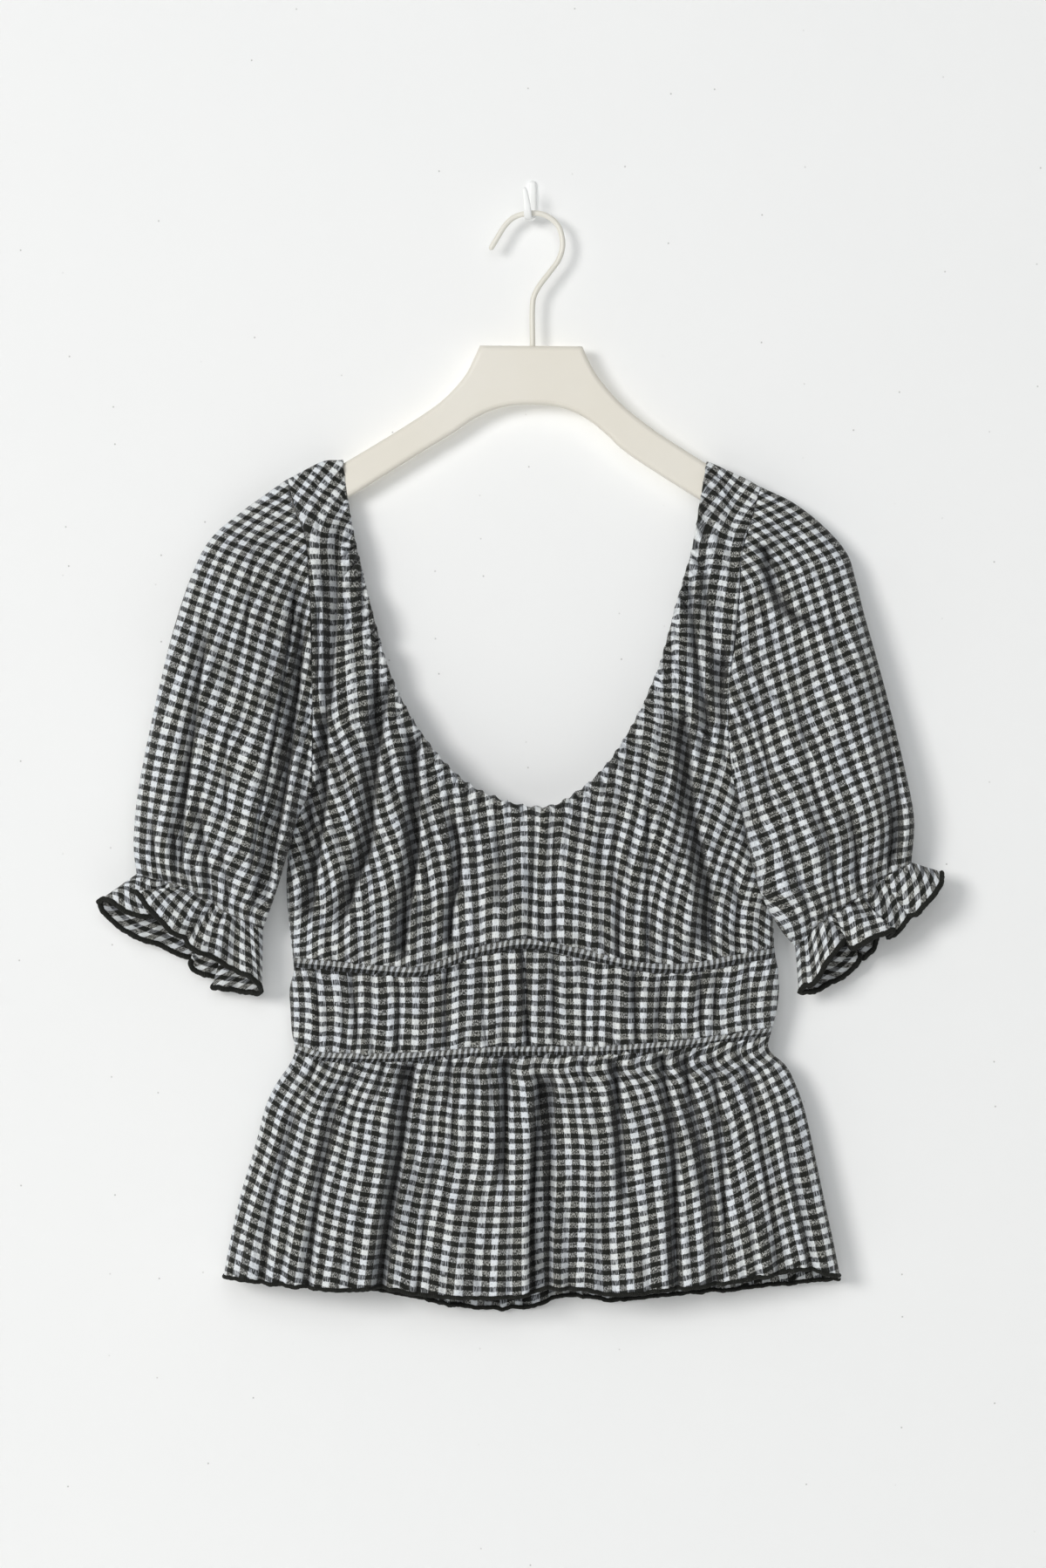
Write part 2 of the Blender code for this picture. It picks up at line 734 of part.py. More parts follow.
def ruffle(shape, columns, rows):
    """The cuff ruffle, from the elastic line to its wavy edge."""
    grid = []
    half = columns // 2
    ring = [(-1, i / half) for i in range(half)] + [(1, 1 - i / half) for i in range(half)]
    for row in range(rows + 1):
        v = row / rows
        line = []
        for face, share in ring:
            top = sleeve_point(shape, 1.0, face, share)
            x, z, depth = read(shape["front_edge" if face < 0 else "back_edge"], share)
            edge = [x, RUFFLE_Y + face * depth * rounding(share, SQUARE), z]
            reach = math.dist(top, edge)
            start = mix(top, edge, (SEAM + 0.4) / reach)
            line.append(mix(start, edge, v**1.15))
        grid.append(line)
    return grid


# Objects


def material(name, color, roughness, metallic=0.0):
    made = bpy.data.materials.new(name)
    made.use_nodes = True
    shader = made.node_tree.nodes["Principled BSDF"]
    shader.inputs["Base Color"].default_value = color
    shader.inputs["Roughness"].default_value = roughness
    shader.inputs["Metallic"].default_value = metallic
    return made


def add(name, data, paint):
    thing = bpy.data.objects.new(name, data)
    PARTS.objects.link(thing)
    data.materials.append(paint)
    return thing


def sheet(name, grid, paint, thick, closed=False, offset=0.0):
    """An open sheet through a grid of points, thickened to a wall."""
    columns = len(grid[0])
    points = [[c * MM for c in point] for line in grid for point in line]
    faces = []
    for row in range(len(grid) - 1):
        for column in range(columns if closed else columns - 1):
            after = (column + 1) % columns
            here, below = row * columns, (row + 1) * columns
            faces.append((here + column, below + column, below + after, here + after))
    mesh = bpy.data.meshes.new(name)
    mesh.from_pydata(points, [], faces)
    mesh.shade_smooth()
    thing = add(name, mesh, paint)
    wall = thing.modifiers.new("Wall", "SOLIDIFY")
    wall.thickness = thick * MM
    wall.offset = offset
    return thing


def rod(name, route, radius, paint, resolution, closed=False):
    """A round rod along a route of points in millimetres."""
    curve = bpy.data.curves.new(name, "CURVE")
    curve.dimensions = "3D"
    curve.bevel_depth = radius * MM
    curve.bevel_resolution = resolution
    curve.use_fill_caps = not closed
    line = curve.splines.new("POLY")
    line.points.add(len(route) - 1)
    for point, place in zip(line.points, route):
        point.co = (*(c * MM for c in place), 1.0)
    line.use_cyclic_u = closed
    return add(name, curve, paint)


def edge_route(grid, radius):
    """Centres of an overlocked edge just past the grid's last row."""
    route = []
    for before, last in zip(grid[-2], grid[-1]):
        reach = math.dist(before, last)
        route.append(mix(before, last, 1 + (EDGE_GAP + radius) / reach))
    return route


def build_torso(cloth, black):
    seam, waist = across(UNDERBUST), across(WAIST)
    half, low_half = UNDERBUST_BAND / 2, WAIST_BAND / 2
    faces = [
        ("front", -1, FRONT_BODICE_FOLDS, FRONT_WAISTBAND_FOLDS, FRONT_PEPLUM_FOLDS, FRONT_HEM),
        ("back", 1, BACK_BODICE_FOLDS, BACK_WAISTBAND_FOLDS, BACK_PEPLUM_FOLDS, BACK_HEM),
    ]
    for name, face, bodice_folds, waist_folds, peplum_folds, hem in faces:
        sheet(f"{name}_bodice", bodice(face, bodice_folds), cloth, WALL)
        band = panel(face, shifted(seam, half), shifted(seam, -half), 24, 1, [], True)
        sheet(f"{name}_underbust_band", band, cloth, BAND_WALL)
        top, bottom = shifted(seam, -half - SEAM), shifted(waist, low_half + SEAM)
        ruched = panel(face, top, bottom, 36, 3, waist_folds, True)
        sheet(f"{name}_waistband", ruched, cloth, WALL)
        band = panel(face, shifted(waist, low_half), shifted(waist, -low_half), 24, 1, [], True)
        sheet(f"{name}_waist_band", band, cloth, BAND_WALL)
        top = shifted(waist, -low_half - SEAM)
        skirt = panel(face, top, across(hem), 40, 6, peplum_folds, False)
        sheet(f"{name}_peplum", skirt, cloth, WALL)
        hem_route = edge_route(skirt, EDGE_RADIUS)[2:-2]
        rod(f"{name}_hem_edge", hem_route, EDGE_RADIUS, black, 0)


def build_sleeves(cloth, black):
    for name, shape in SLEEVES.items():
        sheet(f"{name}_sleeve", sleeve(shape, 28, 13), cloth, WALL, closed=True)
        cuff = ruffle(shape, 44, 3)
        sheet(f"{name}_ruffle", cuff, cloth, WALL, closed=True)
        rod(f"{name}_ruffle_edge", edge_route(cuff, EDGE_RADIUS), EDGE_RADIUS, black, 0, closed=True)


def build_hanger(board, wire_paint, hook_paint):
    curve = bpy.data.curves.new("hanger", "CURVE")
    curve.dimensions = "2D"
    curve.fill_mode = "BOTH"
    curve.extrude = (HANGER_THICK / 2 - HANGER_ROUND) * MM
    curve.bevel_depth = HANGER_ROUND * MM
    curve.offset = -HANGER_ROUND * MM
    curve.bevel_resolution = 1
    line = curve.splines.new("POLY")
    line.points.add(len(HANGER_OUTLINE) - 1)
    for point, (x, z) in zip(line.points, HANGER_OUTLINE):
        point.co = (x * MM, z * MM, 0.0, 1.0)
    line.use_cyclic_u = True
    hanger = add("hanger", curve, board)
    hanger.rotation_euler = (math.pi / 2, 0.0, 0.0)
    hanger.location = (0.0, HANGER_Y * MM, 0.0)

    steps = 34
    wire = by_length(WIRE_ROUTE)
    route = []
    for i in range(steps + 1):
        x, z = read(wire, i / steps)
        route.append((x, HANGER_Y, z))
    rod("hanger_hook", route, WIRE_RADIUS, wire_paint, 2)

    strip = [[(x - HOOK_WIDTH / 2, y, z), (x + HOOK_WIDTH / 2, y, z)] for x, y, z in WALL_HOOK_ROUTE]
    sheet("wall_hook", strip, hook_paint, HOOK_THICK, offset=1.0)


for old in list(bpy.data.objects):
    bpy.data.objects.remove(old, do_unlink=True)
PARTS = bpy.data.collections.new("puff_sleeve_top")
bpy.context.scene.collection.children.link(PARTS)

gingham = material("gingham", CLOTH_COLOR, 0.9)
overlock = material("overlock", EDGE_COLOR, 0.85)
build_torso(gingham, overlock)
build_sleeves(gingham, overlock)
build_hanger(
    material("hanger_board", HANGER_COLOR, 0.6),
    material("hanger_wire", WIRE_COLOR, 0.4),
    material("wall_hook_paint", WALL_HOOK_COLOR, 0.35),
)
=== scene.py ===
"""The looks of a gingham puff sleeve top that hangs on a hanger from a wall hook.

The wall is the plane y = 0 and the front of the top faces -Y. Tables are in
millimetres: x to the viewer's right, z up, y from the wall. Each cloth piece is a
grid of places worked out from the outlines, folds and gathers below, closed into a
thin shell, with the weave's own coordinates in a UV map named grain.
"""

import math

import bpy
import numpy as np
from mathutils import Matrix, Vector


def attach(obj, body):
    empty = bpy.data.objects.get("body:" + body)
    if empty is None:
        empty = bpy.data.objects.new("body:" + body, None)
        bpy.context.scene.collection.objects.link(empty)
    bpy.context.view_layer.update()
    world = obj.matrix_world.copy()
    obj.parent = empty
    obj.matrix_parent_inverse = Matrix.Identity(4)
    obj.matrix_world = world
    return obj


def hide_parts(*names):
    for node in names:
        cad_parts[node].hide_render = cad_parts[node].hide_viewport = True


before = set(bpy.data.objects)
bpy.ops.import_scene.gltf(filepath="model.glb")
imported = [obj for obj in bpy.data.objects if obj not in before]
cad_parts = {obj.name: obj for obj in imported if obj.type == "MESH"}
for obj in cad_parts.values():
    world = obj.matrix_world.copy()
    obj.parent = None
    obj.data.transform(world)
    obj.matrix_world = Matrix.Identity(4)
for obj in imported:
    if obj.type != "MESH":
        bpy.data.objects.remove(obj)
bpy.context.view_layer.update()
MM = 0.001

# Cloth
THICK = 0.9
BAND_THICK = 1.2
CHECK_ACROSS = 10.3  # one white and one black check
CHECK_ALONG = 6.6
SIDE_GAP = 0.8  # between front and back at a side seam
SEAM = 0.6  # between front and back over the hanger
ARMHOLE_GAP = 0.4
HANGER_Y = -13.0  # the hanger's middle plane
SQUARE = 3.4  # how square the torso lies in section; 2 is an ellipse
PUFF_SQUARE = 2.4  # the same for the front of a sleeve
BACK_MOST = -3.2  # the nearest that a sleeve comes to the wall
WRAP_DROP = 5.0  # over what height the cloth turns over the shoulder
UNDERBUST_BAND = 5.6
WAIST_BAND = 5.2
OVER_SEAM = 1.0  # how far a panel runs on under a band
BACK_NECK_DROP = 3.5
EDGE_RADIUS = 1.45

# Folds
FOLD_SCALE = 1.9  # drawn depth for each millimetre in the fold tables
DEEPEST = 15.0
CLOTH_ROOM = 2.5  # what stays between a fold's trough and the side seam's plane
HANGER_ROOM = 5.6  # the same in front of and behind the hanger
HANGER_FOOT = -236.0
PAINTED_CREASE_SHADE = 0.82  # painted shade: how much of its colour a full crease loses

# The weave: cloth for each millimetre across, and a flat peplum's size
BODICE_TAKES = 0.93
WAISTBAND_TAKES = 1.12
SLEEVE_TAKES = 1.12
PEPLUM_ACROSS = 428
PEPLUM_DOWN = 151
BANDS_ACROSS = 330
PANELS_ACROSS = 400
SLEEVE_ACROSS = 105  # half of a sleeve's cloth, front or back
SLEEVE_DOWN = 270
SLEEVE_SLOPE = 0.22  # of the rows, falling from the outer fold
SHOULDER_SLANT = 0.72  # of the weave over the shoulders

# Gathers (sharp ridges) and puckers (soft waves) that die out from a seam: height,
# width, length, reach and the seed of their noise, which a panel adds its own to
NECK_GATHERS, NECK_PUCKERS = (4.1, 9.0, 60.0, 17, 11), (1.9, 15, 90, 70, 12)
BUST_GATHERS, BUST_PUCKERS = (1.5, 9.0, 60.0, 13, 13), (0.9, 13, 80, 50, 15)
TOP_GATHERS, TOP_PUCKERS = (1.5, 9.0, 70.0, 14, 0), (1.2, 15, 90, 60, 1)
FOOT_GATHERS = (1.5, 9.0, 60.0, 14, 2)
CUFF_GATHERS, CUFF_PUCKERS = (2.2, 10.5, 70.0, 16, 61), (2.2, 15, 120, 55, 62)
CAP_GATHERS = (3.4, 9.5, 70.0, 20, 63)
CUFF_PINCH = 2.6

# Flattened torso by depth below the origin: sides, side seam's y, and how far the
# front and back stand from the side seam at the middle
TORSO = [
    # down, left x, right x, side y, front, back
    (160, -190, 180, -13, 7.6, 7.4),
    (200, -190, 180, -13.2, 8, 7.6),
    (260, -186, 174, -14, 10.5, 8.4),
    (310, -177, 161, -15, 14, 9.4),
    (335, -160, 150, -15.5, 16.3, 10.1),
    (356, -152, 143, -15.8, 17.2, 10.4),
    (372, -150, 140, -16, 18, 10.6),
    (392, -152, 141.5, -16.4, 19, 10.8),
    (412, -154, 144, -16.8, 19.6, 11),
    (430, -155, 147, -17, 19.6, 11),
    (443, -154.6, 150, -17, 19.2, 11),
    (456, -153.4, 151.6, -17, 18.4, 11),
    (475, -151.4, 152.4, -17, 17, 10.6),
    (486, -150.4, 154.6, -17, 16.5, 10.4),
    (499, -153, 155.2, -17, 17.4, 10.8),
    (513, -152.4, 153.6, -17, 17.4, 10.8),
    (526, -151.6, 150, -17, 16, 10.4),
    (537, -149.6, 149, -17, 15, 10),
    (547, -153.5, 159.5, -17.2, 16, 10.4),
    (558, -161.2, 165.4, -17.4, 17.4, 11),
    (573, -168.3, 170.8, -17.8, 18.6, 11.4),
    (592, -173.2, 175.4, -18.2, 19.6, 11.8),
    (630, -184.3, 183.4, -18.8, 21, 12.2),
    (663, -191.6, 190.4, -19.2, 22, 12.4),
    (702, -198.4, 197.6, -19.4, 22.6, 12.6),
]

# Outlines seen from the front (x, z)
NECK = [
    (-119.9, -165), (-117.2, -188), (-111.7, -217), (-103.4, -251.4), (-91.3, -295.4), (-79.2, -322),
    (-65.5, -343.5), (-44, -366.3), (-22, -378), (1.7, -383.4), (18, -380.5), (44, -359.7),
    (65.5, -327.2), (80.3, -293.2), (91.9, -251.4), (100.7, -221.1), (106.2, -189.8), (110, -165),
]
LEFT_SHOULDER = [(-154.6, -176.6), (-143, -170.4), (-131, -165), (-119.9, -165)]
RIGHT_SHOULDER = [(110, -165), (124, -171.4), (134, -176), (143.8, -181.6)]
LEFT_ARMHOLE = [
    (-154.6, -176.6), (-150.2, -195.3), (-143.6, -212.3), (-141.4, -232.7), (-139.7, -270.6),
    (-138.6, -314.6), (-139, -372),
]
RIGHT_ARMHOLE = [
    (143.8, -181.6), (138.1, -201.9), (132, -223.9), (130.4, -249.2), (127.6, -278.3), (123.2, -312.4),
    (123.8, -344.9), (127, -370),
]
UNDERBUST = [
    (-150.4, -481.3), (-124.3, -483.5), (-77, -487.3), (-58.9, -483.5), (-40.7, -476.3), (-5, -469.2),
    (28.6, -475.2), (66.6, -483.5), (92, -485.1), (129.8, -479.1), (152.2, -475.2),
]
WAIST = [
    (-149.6, -535.6), (-130.4, -540.7), (-76.5, -540.7), (-29.2, -537.4), (47.9, -536.2),
    (98.5, -532.4), (149.4, -524.8),
]
FRONT_HEM = [
    (-194.7, -678.7), (-153.5, -683.1), (-115, -686), (-90.8, -684.8), (-72.1, -688.2), (-42.6, -690.6),
    (-13.1, -690), (-3.3, -689.2), (2.6, -686.7), (9.5, -685), (31.1, -685), (45.8, -688.2),
    (61.5, -688), (82, -686.2), (109.5, -683.1), (144.1, -678.2), (172, -673.4), (194.2, -678.9),
]
BACK_HEM = [
    (-194.7, -678.9), (-150, -684.6), (-99.6, -688.4), (-72.1, -693.6), (-49.5, -698.2),
    (-24.9, -700.5), (-1.3, -699.5), (6, -697.4), (12.4, -694.4), (22.2, -692.3), (36, -693),
    (50, -695.6), (73.3, -693.2), (105.1, -690.2), (144.1, -686.4), (194, -680.9),
]
NECK_AT_LEFT_UNDERARM = 0.275
NECK_AT_LEFT_CORNER = 0.365
NECK_AT_RIGHT_CORNER = 0.640
NECK_AT_RIGHT_UNDERARM = 0.735

# How much a row of checks on the bodice arches, by height
ROW_ARCH = [
    # z, bend per mm of x squared
    (-500, 0.0017),
    (-450, 0.0023),
    (-400, 0.0025),
    (-350, 0.0023),
    (-300, 0.0012),
    (-265, 0.0005),
    (-230, 0),
    (-165, 0),
]

# Folds: how wide each falls off on the viewer's left and right of its line, how
# deep it is, over which shares of the line it fades in and out, and the line (x, z)
FRONT_BODICE_FOLDS = [
    (11, 1.8, 8.5, 0.15, 0.15, [(-121.5, -196), (-123.7, -225), (-124.1, -263), (-125.6, -290),
        (-126.6, -326)]),
    (6, 1.6, 4, 0.2, 0.2, [(-134.8, -245), (-135.3, -284), (-136.6, -334)]),
    (6, 1.8, 3.5, 0.2, 0.3, [(-95.5, -262), (-97, -290), (-98.4, -322), (-100, -350)]),
    (5, 2, 2.5, 0.3, 0.3, [(-108, -215), (-107, -250), (-108, -290)]),
    (12, 1.6, 10.5, 0.12, 0.1, [(-129.4, -318), (-129.7, -370), (-130.8, -388), (-136.6, -430),
        (-139.5, -458)]),
    (6, 5, 6, 0.2, 0.2, [(-143, -300), (-141, -355), (-140, -385), (-147, -425)]),
    (12, 2.6, 9, 0.12, 0.12, [(-89, -296), (-93.2, -321.5), (-97.8, -355), (-100.4, -384),
        (-101.5, -407), (-110.6, -431), (-121, -462)]),
    (11, 1.6, 11.5, 0.1, 0.05, [(-69, -334), (-71.8, -350), (-71.7, -370), (-71.8, -413),
        (-74.7, -431.5), (-77.9, -453.5), (-80.5, -480)]),
    (7.5, 1.6, 7.5, 0.15, 0.08, [(-50.2, -386), (-45.2, -410), (-45.7, -430), (-49.8, -447.7),
        (-51.5, -472)]),
    (6, 3, 1.8, 0.2, 0.2, [(-22.6, -396), (-20.9, -418.8), (-21.4, -450)]),
    (3.5, 2, 1.6, 0.2, 0.1, [(1.9, -386), (0.7, -426), (-1.8, -466)]),
    (2.5, 4, 1.5, 0.2, 0.1, [(13.6, -388), (13.6, -426), (14.2, -468)]),
    (5, 3, 2, 0.2, 0.1, [(43, -390), (43.7, -432), (43, -474)]),
    (7, 2, 3.6, 0.3, 0.05, [(56.5, -424), (54.9, -452), (54.1, -480)]),
    (3, 2.5, 3, 0.2, 0.08, [(71.5, -366), (72.5, -400), (71.9, -451), (73.1, -481)]),
    (13, 2.2, 10, 0.12, 0.1, [(95, -318), (98.3, -345), (101, -380), (107.5, -414), (113, -442),
        (112, -478)]),
    (2.4, 2, 1.8, 0.2, 0.2, [(93, -290), (96.6, -320), (98.6, -350)]),
    (9, 2.4, 5.5, 0.15, 0.4, [(100, -236), (101, -262), (105, -296), (110, -326), (114, -360)]),
    (15, 3, 9, 0.15, 0.2, [(120, -276), (124, -305), (131, -340), (139, -372), (146, -402),
        (150, -440)]),
    (6, 2, 3.5, 0.2, 0.2, [(108.5, -222), (110.6, -258), (115, -290)]),
    (5, 1.6, 2.8, 0.2, 0.1, [(124, -418), (130, -445), (128, -478)]),
]
BACK_BODICE_FOLDS = [
    (8, 3, 4, 0.2, 0.1, [(-104, -330), (-112, -400), (-118, -476)]),
    (7, 2.5, 3.5, 0.2, 0.1, [(-60, -392), (-64, -440), (-66, -484)]),
    (6, 3, 2.5, 0.2, 0.1, [(-10, -394), (-12, -430), (-14, -468)]),
    (3, 7, 3.5, 0.2, 0.1, [(36, -392), (40, -430), (42, -476)]),
    (3, 8, 4, 0.2, 0.1, [(92, -330), (104, -400), (110, -478)]),
    (6, 3, 3, 0.2, 0.2, [(-124, -210), (-126, -260), (-128, -320)]),
    (3, 6, 3, 0.2, 0.2, [(112, -220), (114, -270), (116, -320)]),
]
FRONT_WAISTBAND_FOLDS = [
    (5, 1.3, 3.6, 0.1, 0.2, [(-114.4, -484), (-112.6, -500), (-110.2, -516), (-110, -538)]),
    (4.5, 1.2, 4, 0.05, 0.05, [(-53.8, -476), (-54.4, -505), (-54.2, -541)]),
    (5, 1.3, 6.5, 0.02, 0.02, [(-5.8, -469), (-3.6, -500), (-1.4, -540)]),
    (3.5, 1.2, 3, 0.05, 0.1, [(13.5, -472), (13.9, -500), (13.4, -538)]),
    (3, 1.2, 2.2, 0.3, 0.05, [(32.9, -496), (32.7, -515), (33.2, -538)]),
    (5, 1.3, 3.8, 0.1, 0.05, [(64.4, -480), (65.4, -510), (66.8, -537)]),
    (4, 1.3, 3, 0.2, 0.05, [(82.4, -486), (80.2, -512), (77.2, -537)]),
    (4, 1.2, 3.2, 0.1, 0.05, [(106, -482), (106.6, -510), (106, -534)]),
    (3.5, 1.2, 2.4, 0.1, 0.3, [(115.4, -482), (115.6, -500), (114.6, -520)]),
    (3.5, 1.2, 2.2, 0.1, 0.1, [(-84, -486), (-83.2, -512), (-84.4, -541)]),
    (3, 1.2, 1.8, 0.1, 0.1, [(-30, -476), (-30.8, -505), (-29.6, -538)]),
    (4, 1.2, 2.4, 0.1, 0.1, [(-136, -484), (-135, -510), (-134, -538)]),
    (4, 1.2, 2.4, 0.1, 0.1, [(136, -480), (136.6, -505), (135.2, -528)]),
]
BACK_WAISTBAND_FOLDS = [
    (5, 1.5, 3.2, 0.1, 0.1, [(-118, -484), (-117, -512), (-118, -541)]),
    (4, 1.5, 2.6, 0.1, 0.1, [(-88, -486), (-87, -512), (-88, -541)]),
    (5, 1.5, 3.6, 0.1, 0.1, [(-52, -480), (-53, -510), (-52, -540)]),
    (4, 1.5, 2.6, 0.1, 0.1, [(-16, -471), (-15, -505), (-16, -538)]),
    (1.5, 5, 3.6, 0.1, 0.1, [(22, -474), (23, -505), (22, -538)]),
    (1.5, 4, 2.6, 0.1, 0.1, [(58, -481), (57, -508), (58, -536)]),
    (1.5, 5, 3.6, 0.1, 0.1, [(96, -484), (97, -510), (96, -533)]),
    (1.5, 4, 2.6, 0.1, 0.1, [(126, -480), (125, -505), (126, -529)]),
]
FRONT_PEPLUM_FOLDS = [
    (12, 3, 10.5, 0.03, 0, [(-74.9, -541), (-76.6, -559), (-78.4, -575), (-83.5, -609), (-87.4, -636),
        (-90.6, -660), (-94, -692)]),
    (9, 2, 8, 0.04, 0.35, [(-14.5, -539), (-15.2, -560), (-16, -590), (-17.4, -630)]),
    (3, 1.6, 2.6, 0.03, 0.4, [(-26.5, -539), (-25.5, -556), (-24, -580)]),
    (2.4, 10, 6, 0.08, 0, [(3.6, -548), (2.6, -562), (1.7, -585), (0.2, -609), (-1.2, -634),
        (-1.6, -660), (-0.8, -692)]),
    (10, 3, 7, 0.1, 0, [(12, -548), (12.4, -580), (12, -609), (11.4, -634), (11, -660), (11, -692)]),
    (8, 2, 7, 0.05, 0.3, [(53, -540), (54.6, -565), (56.7, -602), (59, -640)]),
    (8, 2.4, 7.5, 0.03, 0, [(82, -536), (84.6, -558), (87.6, -575), (90, -595), (90.5, -628),
        (90.8, -660), (91.4, -690)]),
    (8, 3, 5, 0.05, 0, [(96, -535), (99.4, -568), (108, -606), (112, -634), (114, -660), (116, -688)]),
    (6, 2, 3.4, 0.05, 0.1, [(113, -534), (116.5, -560), (119.4, -600), (121, -634), (121, -684)]),
    (4, 1.5, 3.2, 0.03, 0.3, [(-109.5, -542), (-113, -551), (-116.5, -563), (-119, -582)]),
    (3, 1.5, 2, 0.2, 0, [(-64.8, -572), (-62.6, -609), (-67.2, -634), (-69.2, -660), (-72, -690)]),
    (8, 3, 4, 0.1, 0, [(-121, -556), (-129, -600), (-136, -640), (-141, -688)]),
    (8, 3, 3.6, 0.2, 0, [(-146, -560), (-156, -600), (-164, -640), (-170, -684)]),
    (3, 9, 3.6, 0.1, 0, [(133, -545), (142, -590), (150, -640), (155, -684)]),
    (3, 7, 3, 0.2, 0, [(152, -560), (162, -610), (171, -650), (175, -680)]),
    (4, 1.6, 3, 0.03, 0.5, [(-50, -541), (-51, -556), (-54, -580)]),
    (4, 1.6, 3, 0.03, 0.5, [(32, -539), (33, -556), (35, -576)]),
    (4, 1.6, 3, 0.03, 0.5, [(-92, -542), (-95, -556), (-99, -572)]),
    (4, 1.6, 3, 0.03, 0.5, [(-134, -541), (-140, -556), (-146, -574)]),
    (4, 1.6, 3, 0.03, 0.5, [(128, -530), (134, -548), (140, -566)]),
]
BACK_PEPLUM_FOLDS = [
    (10, 3, 5, 0.05, 0, [(-112, -540), (-122, -610), (-132, -700)]),
    (8, 3, 3, 0.05, 0.2, [(-78, -541), (-84, -600), (-90, -680)]),
    (10, 3, 6, 0.05, 0, [(-44, -539), (-48, -610), (-52, -705)]),
    (8, 3, 3, 0.05, 0.2, [(-8, -538), (-9, -600), (-10, -690)]),
    (3, 10, 6, 0.05, 0, [(26, -537), (29, -610), (32, -705)]),
    (3, 8, 3, 0.05, 0.2, [(62, -536), (68, -600), (76, -690)]),
    (3, 10, 5, 0.05, 0, [(98, -533), (110, -610), (122, -700)]),
]

